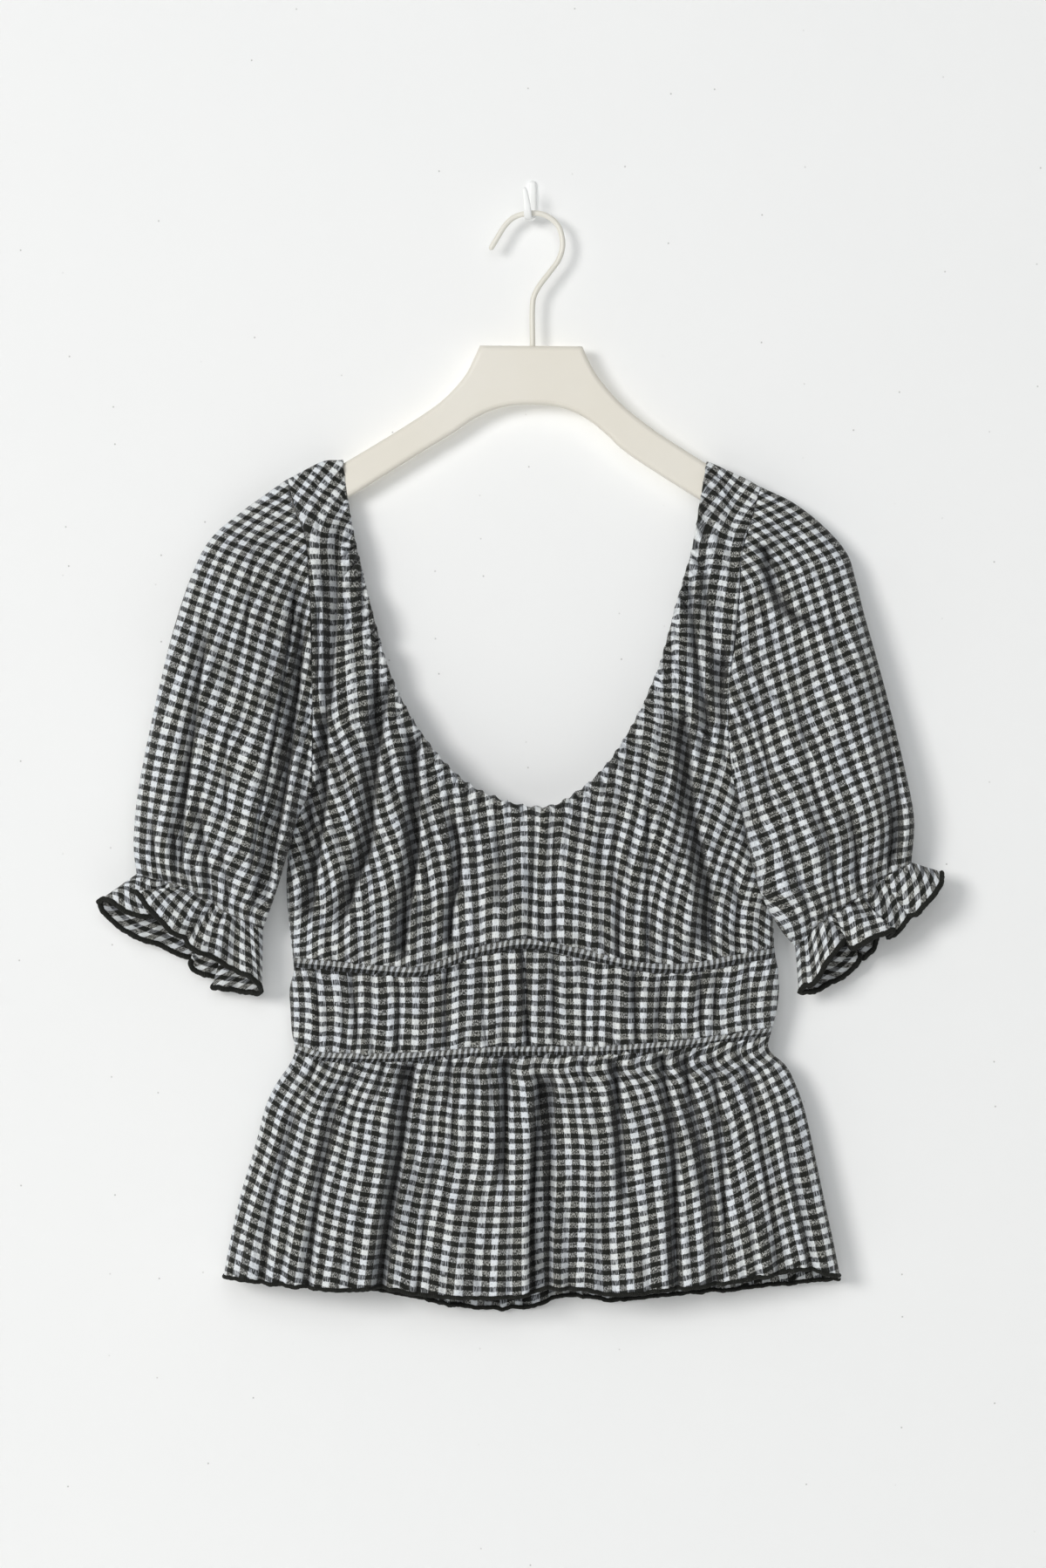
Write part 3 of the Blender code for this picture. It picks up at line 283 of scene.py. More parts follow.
SLEEVES = {
    "left": {
        "side": -1.0,
        "armhole": LEFT_ARMHOLE,
        "outer_fold": [(-203, -262), (-208, -330), (-203, -400), (-200, -428)],
        "axis": [(-160, -185), (-209, -441)],
        "outer": [
            (-154.6, -176), (-166.1, -184.4), (-183.7, -197.1), (-203.6, -214.6), (-215.2, -237.1),
            (-226, -271.2), (-235.4, -309.7), (-245.3, -356.4), (-249.7, -383.4), (-251.3, -409.2),
            (-249.4, -426),
        ],
        "inner": [
            (-139, -372), (-146.6, -386), (-153.6, -409.2), (-159.4, -429.6), (-164, -443.3),
            (-170.5, -460.6),
        ],
        "elastic": [(-170.5, -460.6), (-190.9, -450.6), (-218.4, -434.6), (-249.4, -426)],
        "front_edge": [
            # x, y, z from the underarm side to the outer tip
            (-171.2, -22, -499), (-172.2, -29, -495), (-175.2, -33.5, -491.4), (-179.5, -35.5, -488.6),
            (-185.2, -33, -486.4), (-192, -29, -483), (-200.6, -33, -477.4), (-206.4, -36.5, -475.3),
            (-211.4, -37.5, -473.1), (-215.9, -35.5, -470), (-218.1, -32, -465.4),
            (-222.2, -33, -463.9), (-226.5, -36, -461.7), (-229.6, -38, -458), (-233.9, -39, -453.7),
            (-238.2, -39, -449.3), (-242.5, -38, -444.2), (-246.2, -36.5, -439),
            (-249.2, -34.5, -436.6), (-247.6, -31.5, -437.6), (-241.5, -29.5, -441.5),
            (-236, -27.5, -447.6), (-239.5, -27, -451.6), (-247.4, -28, -451.5), (-254.6, -29, -449.2),
            (-261, -28, -445.4), (-265.6, -25.5, -442.2), (-270.6, -22.5, -441.4),
            (-273.8, -19.5, -443.2),
        ],
        "back_edge": [
            # x, y, z from the outer tip to the underarm side
            (-273.8, -19.5, -443.2), (-270.9, -15, -449.4), (-266.1, -12, -454.6),
            (-260.3, -11, -459.8), (-254.6, -12, -463.2), (-248.1, -13, -466.4), (-242.3, -12, -468.2),
            (-236.8, -10, -469.9), (-231.6, -9, -472.6), (-226.5, -9.5, -475.2), (-220.4, -9, -477.8),
            (-214.4, -7.5, -478.2), (-215.6, -11, -479.6), (-216.2, -12.6, -483.4),
            (-212.4, -13.4, -487.2), (-206.4, -12.4, -489.3), (-200.4, -10, -490.6),
            (-196.4, -7.8, -491.6), (-200.8, -9, -495), (-202.4, -11, -497.4), (-199, -13, -497.2),
            (-194.4, -13.6, -498.2), (-189.2, -12.4, -498.6), (-183.6, -14.6, -499.8),
            (-178, -17.4, -500.2), (-173.6, -19.4, -500.8), (-171.2, -22, -499),
        ],
        "folds": [
            (3, 1.4, 5.5, 0.12, 0.12, [(-150, -238), (-151.8, -266.8), (-159.5, -322), (-167, -368),
                (-172, -398), (-178, -432)]),
            (12, 3, 8, 0.12, 0.06, [(-141, -226), (-142.5, -250), (-144.5, -276), (-147.5, -306),
                (-152, -344), (-157.5, -386), (-164, -424), (-171, -452)]),
            (11, 2, 6, 0.15, 0.1, [(-203, -262), (-206.5, -290), (-211.5, -330), (-216.5, -372),
                (-219.5, -400), (-220.5, -428)]),
            (3, 1.5, 2, 0.2, 0.3, [(-172.6, -206), (-176.5, -232), (-179, -262), (-183, -300)]),
            (6, 2, 3.4, 0.3, 0.05, [(-211, -372), (-207, -398), (-204, -420), (-202.6, -440)]),
            (5, 1.6, 3, 0.3, 0.05, [(-226, -390), (-224.5, -410), (-223, -432)]),
            (5, 1.6, 3, 0.3, 0.05, [(-240, -385), (-238, -408), (-236, -427)]),
            (3, 1.6, 1.8, 0.2, 0.2, [(-190, -330), (-192, -360), (-191, -400)]),
            (1.6, 6, 3, 0.2, 0.06, [(-163, -352), (-168, -392), (-172, -424), (-178, -455)]),
            (4, 2, 2.4, 0.3, 0.1, [(-196, -400), (-193, -424), (-190.5, -446)]),
        ],
    },
    "right": {
        "side": 1.0,
        "armhole": RIGHT_ARMHOLE,
        "outer_fold": [(211, -256), (221, -310), (229, -372), (228, -424)],
        "axis": [(150, -190), (203, -441)],
        "outer": [
            (143.8, -181), (164.5, -191.4), (185.1, -207.5), (198.8, -223.9), (203.5, -238.7),
            (209.5, -264), (222.7, -312.4), (236.5, -369.1), (240.3, -392.7), (238.6, -418.8),
        ],
        "inner": [
            (127, -370), (132.2, -385.6), (137.2, -413.1), (144.2, -438.4), (156, -459.8),
            (166.1, -471.6),
        ],
        "elastic": [(166.1, -471.6), (181.5, -456), (207.9, -438.4), (220, -429), (238.6, -418.8)],
        "front_edge": [
            (168.5, -20, -499.7), (171.6, -25, -495.6), (175.8, -31, -494.6), (179.4, -34, -490.4),
            (182, -36, -485.4), (185.3, -36.5, -479.5), (189.5, -36, -474.4), (192.7, -35, -470),
            (196.3, -33, -466.9), (198.6, -30.5, -467.4), (200.2, -33, -471.6), (204.7, -38, -470.2),
            (209.7, -39.5, -466.9), (214.8, -39.5, -464.3), (220.2, -38, -462.5),
            (226.4, -35.5, -460.3), (224.6, -31, -463), (223.4, -27.6, -465.6), (227, -28, -463.4),
            (231.2, -29, -459.8), (235.2, -29, -454.2), (238.6, -27, -450.4), (236.6, -30, -451.4),
            (240.9, -33, -450.5), (245.1, -34, -445.8), (249.3, -33.5, -441.4), (252.9, -32, -437.2),
            (256.7, -28, -431.3), (257.7, -22, -424.8),
        ],
        "back_edge": [
            (257.7, -22, -424.8), (254.4, -15, -432), (247, -11.5, -440), (237, -10, -448),
            (227, -10, -456), (219.6, -11, -462), (217.2, -13, -467.6), (215.6, -12.4, -472.8),
            (212.3, -11, -476.1), (208.7, -9, -479), (205.2, -7.6, -476), (206.6, -11.6, -477.4),
            (206.2, -13.6, -480.2), (203.6, -13.8, -484), (199.4, -13, -488), (194.4, -12, -491.6),
            (188.7, -12, -494), (183.6, -13, -496.9), (178.6, -15, -499.3), (173.5, -18, -499.9),
            (168.5, -20, -499.7),
        ],
        "folds": [
            (13, 4, 7, 0.12, 0.06, [(211, -256), (216, -284), (221, -310), (226, -340), (230, -372),
                (230, -400), (227, -424)]),
            (8, 2.6, 8.2, 0.12, 0.55, [(139, -219), (148.5, -221), (150.4, -235), (155.4, -250),
                (163, -260), (176, -267), (192, -270)]),
            (3, 1.6, 2.4, 0.2, 0.3, [(140, -248), (146, -262), (152, -280)]),
            (5, 2, 2.6, 0.3, 0.05, [(176, -360), (184, -400), (190, -430), (193, -446)]),
            (6, 2, 3.2, 0.3, 0.05, [(198, -380), (203, -408), (206, -436)]),
            (5, 2, 3, 0.3, 0.05, [(158, -400), (168, -430), (176, -458)]),
            (2, 6, 3, 0.3, 0.05, [(226, -378), (226, -400), (224, -424)]),
            (3, 1.6, 1.8, 0.3, 0.3, [(186, -232), (190, -270), (192, -310)]),
            (3, 1.6, 1.6, 0.3, 0.3, [(160, -290), (170, -340), (180, -392)]),
            (4, 2, 2, 0.3, 0.3, [(140, -300), (146, -350), (152, -396)]),
        ],
    },
}
# A sleeve's depth from its armhole (0) to its elastic (1): middle y, front, back
SLEEVE_DEPTH = [
    (0, -15, 10, 9),
    (0.12, -18, 20, 13),
    (0.3, -22, 25, 17),
    (0.6, -24, 25, 19),
    (0.85, -23, 20, 16),
    (0.96, -22, 14.5, 12.5),
    (1, -22, 12, 11),
]
# How far a sleeve's underarm edge lies forward, over the body's side
SLEEVE_LIES_OVER = [(0, 0), (0.15, 5), (0.4, 10), (0.75, 8), (1, 0)]

HANGER_THICK = 10.0
HANGER_ROUND = 3.0
HANGER_OUTLINE = [
    (-193, -219), (-191, -211), (-185, -205.4), (-155, -187.4), (-119.9, -166.6), (-96, -152.4),
    (-72.1, -137.4), (-58, -127.4), (-48.4, -118), (-42, -110), (-38, -102.3), (-33.3, -91.9),
    (31.4, -92.4), (36, -102.3), (40.6, -110.6), (47, -118.8), (57, -129.6), (70, -140.2), (82, -148.8),
    (110, -166.6), (145, -187.4), (176, -205.4), (182, -211), (184, -219), (181, -225), (175, -227),
    (145, -211), (106.2, -189.4), (61.6, -161), (48, -149), (38, -140.6), (26, -133.6), (13, -130),
    (-1.1, -129.2), (-14, -130), (-27, -133.4), (-39.1, -139.6), (-49, -146.6), (-72.1, -160.6),
    (-117.2, -188.6), (-154, -209), (-184, -227), (-190, -225),
]
HANGER_CORNERS = (11, 12)  # the plate's two top corners stay sharp
WIRE_RADIUS = 1.75
WIRE_ROUTE = [
    (0, -91.7), (0.2, -63.8), (3.2, -55.7), (11, -45.1), (16.5, -37.4), (19, -28.6), (17.4, -18.4),
    (13.2, -12.6), (7.2, -9), (1, -8), (-7.2, -8.9), (-13.2, -11.6), (-18, -16.6), (-22, -23.1),
    (-26, -29.7),
]
# The wall hook's back face: down the wall, out under the wire and up in front of it
WALL_HOOK_ROUTE = [
    # x, y, z, half width
    (0, 0, 13.8, 1.1),
    (0, 0, 12.4, 2),
    (0, 0, 6, 2.5),
    (0, 0, -5, 2.5),
    (-0.4, -1.2, -8.8, 2.5),
    (-1, -4.6, -11.3, 2.5),
    (-1.7, -9, -12.3, 2.5),
    (-2.4, -13.2, -12.6, 2.5),
    (-2.9, -17, -11.4, 2.5),
    (-3.2, -19.4, -7.8, 2.4),
    (-3.6, -19.8, -3, 2.2),
    (-4.3, -19.9, 2, 1.9),
    (-4.9, -20.1, 6, 1.5),
    (-5, -20.2, 7.4, 0.8),
]
HOOK_THICK = 2.0


# Tables and curves


def read(rows, key):
    """A table's columns at many keys, on a smooth curve through its rows."""
    table = np.asarray(rows, float)
    keys, values = table[:, 0], table[:, 1:]
    key = np.clip(np.asarray(key, float), keys[0], keys[-1])
    at = np.clip(np.searchsorted(keys, key, side="right") - 1, 0, len(keys) - 2)
    slopes = np.empty_like(values)
    slopes[1:-1] = (values[2:] - values[:-2]) / (keys[2:] - keys[:-2])[:, None]
    slopes[0] = (values[1] - values[0]) / (keys[1] - keys[0])
    slopes[-1] = (values[-1] - values[-2]) / (keys[-1] - keys[-2])
    span = (keys[at + 1] - keys[at])[..., None]
    t = (key - keys[at])[..., None] / span
    low = (2 * t**3 - 3 * t**2 + 1) * values[at] + (t**3 - 2 * t**2 + t) * span * slopes[at]
    high = (3 * t**2 - 2 * t**3) * values[at + 1] + (t**3 - t**2) * span * slopes[at + 1]
    return low + high


def column(rows, key):
    return read(rows, key)[..., 0]


def by_length(points):
    """A line's points as a table, keyed by their share of its length."""
    run = [0.0]
    for one, other in zip(points, points[1:]):
        run.append(run[-1] + math.dist(one, other))
    return [(r / run[-1], *p) for r, p in zip(run, points)]


def across(points):
    """A seam's heights as a table, keyed by their share of its width."""
    left, right = points[0][0], points[-1][0]
    return [((x - left) / (right - left), z) for x, z in points]


def shifted(seam, rise):
    return [(share, z + rise) for share, z in seam]


def line_length(points):
    return sum(math.dist(a, b) for a, b in zip(points, points[1:]))


def lengths_along(route):
    """How far along a route each of its points lies."""
    return np.concatenate([[0], np.cumsum(np.linalg.norm(np.diff(route, axis=0), axis=1))])


def unit(vectors, least=1e-9):
    return vectors / np.maximum(np.linalg.norm(vectors, axis=-1), least)[..., None]


def swell(t):
    t = np.clip(t, 0.0, 1.0)
    return t * t * (3 - 2 * t)


def rounding(share, square):
    sideways = np.minimum(np.abs(2 * share - 1), 1.0)
    return (1 - sideways**square) ** (1 / square)


def noise(x, y, seed):
    """Smooth noise from about -1 to 1 with one wave a unit."""
    x, y = np.broadcast_arrays(np.asarray(x, float), np.asarray(y, float))
    x0, y0 = np.floor(x).astype(np.int64), np.floor(y).astype(np.int64)
    fx, fy = x - x0, y - y0

    def corner(dx, dy):
        # large odd numbers, so that each corner of the grid has its own direction
        mixed = (x0 + dx) * 374761393 + (y0 + dy) * 668265263 + seed * 2246822519
        mixed = (mixed ^ (mixed >> 13)) * 1274126177
        mixed = (mixed ^ (mixed >> 16)) & 0xFFFF
        angle = mixed / 65536 * 2 * math.pi
        return np.cos(angle) * (fx - dx) + np.sin(angle) * (fy - dy)

    sx = fx**3 * (fx * (6 * fx - 15) + 10)
    sy = fy**3 * (fy * (6 * fy - 15) + 10)
    low = corner(0, 0) * (1 - sx) + corner(1, 0) * sx
    high = corner(0, 1) * (1 - sx) + corner(1, 1) * sx
    return 1.5 * (low * (1 - sy) + high * sy)


def ridges(across_mm, along_mm, wave, length, seed):
    """Round bumps that run along the cloth, with a sharp crease at -1 between them."""
    bent = across_mm + 0.25 * wave * noise(across_mm / (3 * wave), along_mm / length, seed + 7)
    return 3.2 * np.abs(noise(bent / wave, along_mm / length, seed)) ** 0.8 - 1


def gathers(size, across_mm, along_mm, from_seam, share=1.0, seed=0):
    height, wave, length, reach, own = size
    risen = height * share * ridges(across_mm, along_mm, wave, length, own + seed)
    return risen * np.exp(-from_seam / reach)


def puckers(size, across_mm, along_mm, from_seam, share=1.0, seed=0):
    height, wave, length, reach, own = size
    risen = height * share * noise(across_mm / wave, along_mm / length, own + seed)
    return risen * np.exp(-from_seam / reach)


def crinkle(u, v, seed):
    deep = 1.0 * ridges(u, v, 12.0, 80.0, seed) + 0.5 * ridges(u, v, 6.5, 45.0, seed + 3)
    return deep + 0.18 * noise(u / 4.6, v / 5.6, seed + 5)


def uneven(u, v, seed):
    """Checks of uneven width, as crinkled cloth shows them."""
    u = u + 2.3 * noise(u / 26, v / 120, seed) + 0.9 * noise(u / 11, v / 70, seed + 1)
    v = v + 0.5 * noise(u / 30, v / 30, seed + 2) + 0.22 * noise(u / 7, v / 9, seed + 3)
    return u, v


def spread(count):
    """Shares across a panel, closer together where it turns at its sides."""
    t = np.linspace(0, 1, count)
    return t - 0.9 * np.sin(2 * math.pi * t) / (2 * math.pi)


def fold_depth(folds, x, z):
    """How far the folds' troughs draw the cloth in at places of the outline."""
    drawn = np.zeros(x.shape)
    for left, right, depth, start, end, line in folds:
        samples = max(12, int(line_length(line) / 3))
        share = np.linspace(0, 1, samples)
        route = read(by_length(line), share)
        run = unit(np.gradient(route, axis=0))
        reach = max(left, right) + 8
        low, high = route.min(0) - reach, route.max(0) + reach
        near = np.nonzero((x > low[0]) & (x < high[0]) & (z > low[1]) & (z < high[1]))
        if not len(near[0]):
            continue
        gap_x = x[near][:, None] - route[None, :, 0]
        gap_z = z[near][:, None] - route[None, :, 1]
        best = np.argmin(gap_x**2 + gap_z**2, axis=1)
        pick = np.arange(len(best))
        dx, dz = gap_x[pick, best], gap_z[pick, best]
        away = run[best, 0] * dz - run[best, 1] * dx
        along = share[best] + (run[best, 0] * dx + run[best, 1] * dz) / line_length(line)
        t = np.clip(1 - np.abs(away) / np.where(away < 0, left, right), 0, 1)
        far_side = away if right < left else -away
        crest = 0.14 * np.exp(-(((far_side - min(left, right) - 1.6) / 2.2) ** 2))
        fade = swell(along / start) if start else (along > -0.05) * 1.0
        fade = fade * (swell((1 - along) / end) if end else 1.0)
        drawn[near] += FOLD_SCALE * depth * fade * (t**1.1 - crest)
    return np.minimum(drawn, DEEPEST)


def taken_up(depth, x, z, middle=0.0):
    """Lengths of cloth across from the middle, with what its folds take up."""
    xs = np.arange(-280.0, 281.0, 1.0)
    zs = np.arange(z.min() - 4, z.max() + 6, 2.0)
    grid_x, grid_z = np.meshgrid(xs, zs)
    rise = np.clip(np.diff(depth(grid_x, grid_z), axis=1), -1.1, 1.1)
    run = np.concatenate([np.zeros((len(zs), 1)), np.cumsum(np.hypot(1.0, rise), axis=1)], axis=1)
    weight = np.exp(-(((zs[:, None] - zs[None, :]) / 26.0) ** 2))
    run = weight @ run / weight.sum(axis=1)[:, None]
    run += middle - run[:, int(middle - xs[0])][:, None]
    fx = np.clip(x - xs[0], 0, len(xs) - 1.001)
    fz = np.clip((z - zs[0]) / 2.0, 0, len(zs) - 1.001)
    ix, iz = fx.astype(int), fz.astype(int)
    tx, tz = fx - ix, fz - iz
    low = run[iz, ix] * (1 - tx) + run[iz, ix + 1] * tx
    high = run[iz + 1, ix] * (1 - tx) + run[iz + 1, ix + 1] * tx
    return low * (1 - tz) + high * tz


# Torso


def torso_parts(z):
    return np.moveaxis(read(TORSO, -z), -1, 0)


def torso_y(face, x, z, drawn):
    left, right, side, front, back = torso_parts(z)
    turn = rounding(np.clip((x - left) / (right - left), 0, 1), SQUARE)
    depth = front if face < 0 else back
    room = np.where(z > HANGER_FOOT, HANGER_ROOM / np.maximum(turn, 0.2), CLOTH_ROOM)
    drawn = np.minimum(drawn, np.maximum(depth - room, 0.0))
    return side + face * (SIDE_GAP / 2 + (depth - drawn) * turn)


def torso_cloth(face, folds, x, z):
    """Lengths of a torso panel's cloth across from the middle."""

    def depth(at_x, at_z):
        return torso_y(face, at_x, at_z, fold_depth(folds, at_x, at_z))

    return taken_up(depth, x, z)


def neck_way(share):
    return read(by_length(NECK), share)


def bodice_rays():
    """Neckline points and outer points, from the left shoulder seam to the right."""
    seam = shifted(across(UNDERBUST), UNDERBUST_BAND / 2 - OVER_SEAM)
    down_arm = np.linspace(0, 1, 120) ** 1.25
    side = np.linspace(0, 1, 42)[1:-1]
    low = np.linspace(0, 1, 215)
    inner = [neck_way(down_arm * NECK_AT_LEFT_UNDERARM)]
    outer = [read(by_length(LEFT_ARMHOLE), down_arm)]
    top, foot = -LEFT_ARMHOLE[-1][1], -column(seam, 0.0)
    down = top + (foot - top) * side
    past_arm = NECK_AT_LEFT_CORNER - NECK_AT_LEFT_UNDERARM
    inner.append(neck_way(NECK_AT_LEFT_UNDERARM + past_arm * side))
    outer.append(np.stack([read(TORSO, down)[:, 0], -down], axis=-1))
    z = column(seam, low)
    left, right = read(TORSO, -z)[:, 0], read(TORSO, -z)[:, 1]
    past_seam = NECK_AT_RIGHT_CORNER - NECK_AT_LEFT_CORNER
    inner.append(neck_way(NECK_AT_LEFT_CORNER + past_seam * low))
    outer.append(np.stack([left + low * (right - left), z], axis=-1))
    top, foot = -RIGHT_ARMHOLE[-1][1], -column(seam, 1.0)
    down = top + (foot - top) * side[::-1]
    past_arm = NECK_AT_RIGHT_UNDERARM - NECK_AT_RIGHT_CORNER
    inner.append(neck_way(NECK_AT_RIGHT_UNDERARM - past_arm * side[::-1]))
    outer.append(np.stack([read(TORSO, down)[:, 1], -down], axis=-1))
    up_arm = down_arm[::-1]
    inner.append(neck_way(1 - up_arm * (1 - NECK_AT_RIGHT_UNDERARM)))
    outer.append(read(by_length(RIGHT_ARMHOLE), up_arm))
    return np.concatenate(inner), np.concatenate(outer)


def shoulder_line(x):
    left = column(LEFT_SHOULDER, x)
    right = column(RIGHT_SHOULDER, x)
    return np.where(x < 0, left, right)


def shoulder_wrap(x, z):
    """How far the cloth has turned down from the shoulder's fold, from 0 to 1."""
    drop = np.clip((shoulder_line(x) - z) / WRAP_DROP, 0.0, 1.0)
    return (1 - (1 - drop) ** 3) ** (1 / 3)


def shoulder_lift(x):
    """How far the shoulder's outline rises over a straight line between its ends."""
    (x0, z0), (x1, z1) = LEFT_SHOULDER[0], LEFT_SHOULDER[-1]
    left = z0 + (z1 - z0) * np.clip((x - x0) / (x1 - x0), 0, 1)
    (x0, z0), (x1, z1) = RIGHT_SHOULDER[0], RIGHT_SHOULDER[-1]
    right = z0 + (z1 - z0) * np.clip((x - x0) / (x1 - x0), 0, 1)
    return shoulder_line(x) - np.where(x < 0, left, right)


def bodice_y(face, x, z, drawn):
    y = torso_y(face, x, z, drawn)
    seam_y = HANGER_Y + face * SEAM / 2
    return seam_y + (y - seam_y) * shoulder_wrap(x, z)


def arched(x):
    """How far a row of checks has dropped at x, steep near the middle, less beyond."""
    return 1.33 * (200 * np.tanh(x / 200)) ** 2


def bodice_weave(face, folds, x, z, narrowing):
    """The weave's coordinates: arched rows, and shoulder tops cut on a slant."""
    u = BODICE_TAKES * torso_cloth(face, folds, x, z) * narrowing
    w = z + column(ROW_ARCH, z) * (arched(x) - arched(115.0))
    rise = np.clip((z + 228) / 40, 0, 1)
    middle = np.where(x < 0, -128.0, 124.0)
    u = u - SHOULDER_SLANT * (40 * (rise**3 - rise**4 / 2) + np.clip(z + 188, 0, None))
    return u, w + SHOULDER_SLANT * swell(rise) * (x - middle)


def bodice(face, folds, rows, thin):
    """The front or back from the neckline out to the armholes, sides and underbust."""
    inner, outer = bodice_rays()
    inner, outer = inner[::thin], outer[::thin]
    count = len(inner)
    number = np.arange(count)
    from_end = np.minimum(number, count - 1 - number) * thin
    reach = np.linalg.norm(outer - inner, axis=1)
    start = np.zeros(count)
    if face > 0:
        start = BACK_NECK_DROP * swell((from_end - 30) / 40) / reach
    v = start + (1 - start) * np.linspace(0, 1, rows)[:, None]
    x = inner[None, :, 0] + (outer - inner)[None, :, 0] * v
    z = inner[None, :, 1] + (outer - inner)[None, :, 1] * v
    z = z + shoulder_lift(x) * swell(1 - from_end / 80)
    from_neck = v * reach
    from_outer = (1 - v) * reach
    round_neck = np.broadcast_to(lengths_along(inner), x.shape)
    over_seam = np.where((number > count * 0.29) & (number < count * 0.71), 1.0, 0.35)
    free = swell(from_end / 24)
    gather = gathers(NECK_GATHERS, round_neck, from_neck, from_neck)
    gather = gather + puckers(NECK_PUCKERS, round_neck, from_neck, from_neck)
    gather = gather + gathers(BUST_GATHERS, x, z, from_outer, over_seam)
    gather = gather + puckers(BUST_PUCKERS, x, z, from_outer, over_seam)
    narrowing = np.exp(0.0019 * np.clip(-z - 330, 0, None))
    fan = x * narrowing
    pleats = ridges(fan, z, 16.0, 170.0, 16) + 0.5 * ridges(fan, z, 9.0, 110.0, 17)
    gather = gather + 1.5 * pleats * swell(from_outer / 12) * swell(from_neck / 20)
    drawn = fold_depth(folds, x, z) * swell(from_outer / 9)
    fine = crinkle(fan, z, 14 + face)
    edge = np.clip(1 - from_neck / 2.4, 0, 1) ** 2
    y = bodice_y(face, x, z, drawn - (gather + fine) * free)
    y = y - face * (1.5 * edge + 1.4 * np.clip(1 - from_outer / 2.6, 0, 1) ** 1.5) * free
    places = np.stack([x, y, z], axis=-1)
    u, w = bodice_weave(face, folds, x, z, narrowing)
    scallop = 0.7 * np.cos(2 * math.pi * round_neck / 9.0) + 0.6 * noise(round_neck / 6, 0.0, 18)
    places[..., 2] += scallop * np.exp(-from_neck / 2.5)
    w = w + 3.2 * noise(round_neck / 9, from_neck / 20, 19) * np.exp(-from_neck / 12)
    w = w + 2.0 * noise(fan / 17, z / 110, 20) * swell(from_neck / 16)
    return places, *uneven(u, w, 21 + face), drawn


def panel(face, top, bottom, columns, rows, folds, hold_bottom, seed, gathered):
    """A panel of the torso between two seams, each a table of height by share."""
    share = spread(columns)[None, :]
    v = np.linspace(0, 1, rows)[:, None]
    above, below = column(top, share), column(bottom, share)
    z = above + (below - above) * v
    left, right = torso_parts(z)[:2]
    x = left + share * (right - left)
    from_top, from_foot = (above - z), (z - below)
    flat = (share - 0.5) * PANELS_ACROSS + 0 * z
    held = swell(from_top / 6)
    gather = gathers(TOP_GATHERS, flat, z, from_top, gathered, seed)
    gather = gather + puckers(TOP_PUCKERS, flat, z, from_top, gathered, seed)
    tuck = 1.4 * np.clip(1 - from_top / 2.4, 0, 1) ** 1.5
    if hold_bottom:
        held = held * swell(from_foot / 6)
        gather = gather + gathers(FOOT_GATHERS, flat, z, from_foot, gathered, seed)
        tuck = tuck + 1.4 * np.clip(1 - from_foot / 2.4, 0, 1) ** 1.5
    pleats = ridges(flat, z, 15.0, 190.0, seed + 6) + 0.5 * ridges(flat, z, 8.5, 120.0, seed + 7)
    gather = gather + 1.1 * pleats * swell(from_top / 14)
    fine = crinkle(flat, z, seed + 4)
    drawn = fold_depth(folds, x, z) * held
    side = swell(share / 0.012) * swell((1 - share) / 0.012)
    y = torso_y(face, x, z, drawn - (gather + fine) * side + tuck)
    places = np.stack([x, y, z], axis=-1)
    if not hold_bottom:
        wave = 0.9 * noise(flat / 7.5, 0 * z, seed + 8) + 0.35 * noise(flat / 3.4, 0 * z, seed + 9)
        places[..., 2] += wave * v**8
        places[..., 1] += face * 0.9 * noise(flat / 6.5, 0 * z, seed + 10) * v**4 * side
    return places, x, z, share, drawn


def waistband(face, folds, columns, rows):
    top = shifted(across(UNDERBUST), -UNDERBUST_BAND / 2 + OVER_SEAM)
    bottom = shifted(across(WAIST), WAIST_BAND / 2 - OVER_SEAM)
    grid = panel(face, top, bottom, columns, rows, folds, True, 40 + face, 1.2)
    places, x, z, share, drawn = grid
    u = torso_cloth(face, folds, x, z) * WAISTBAND_TAKES
    arch = column(across(UNDERBUST), share) * 0.5 + column(across(WAIST), share) * 0.5
    w = z - 0.8 * (arch - arch.mean())
    w = w + 1.3 * noise(x / 12, z / 60, 48 + face)
    return places, *uneven(u, w, 44 + face), drawn


def peplum(face, hem, folds, columns, rows):
    top = shifted(across(WAIST), -WAIST_BAND / 2 + OVER_SEAM)
    grid = panel(face, top, across(hem), columns, rows, folds, False, 50 + face, 1.3)
    places, x, z, _, drawn = grid
    u = torso_cloth(face, folds, x, z)
    left, right = u[:, :1], u[:, -1:]
    u = ((u - left) / (right - left) - 0.5) * PEPLUM_ACROSS
    v = np.linspace(0, 1, rows)[:, None]
    w = -PEPLUM_DOWN * v - (0.0014 - 0.0005 * v) * x**2
    w = w + 1.6 * noise(u / 16, v * 2.2, 58 + face) * (0.45 + 0.55 * np.exp(-3.4 * v))
    return places, *uneven(u, w, 54 + face), drawn


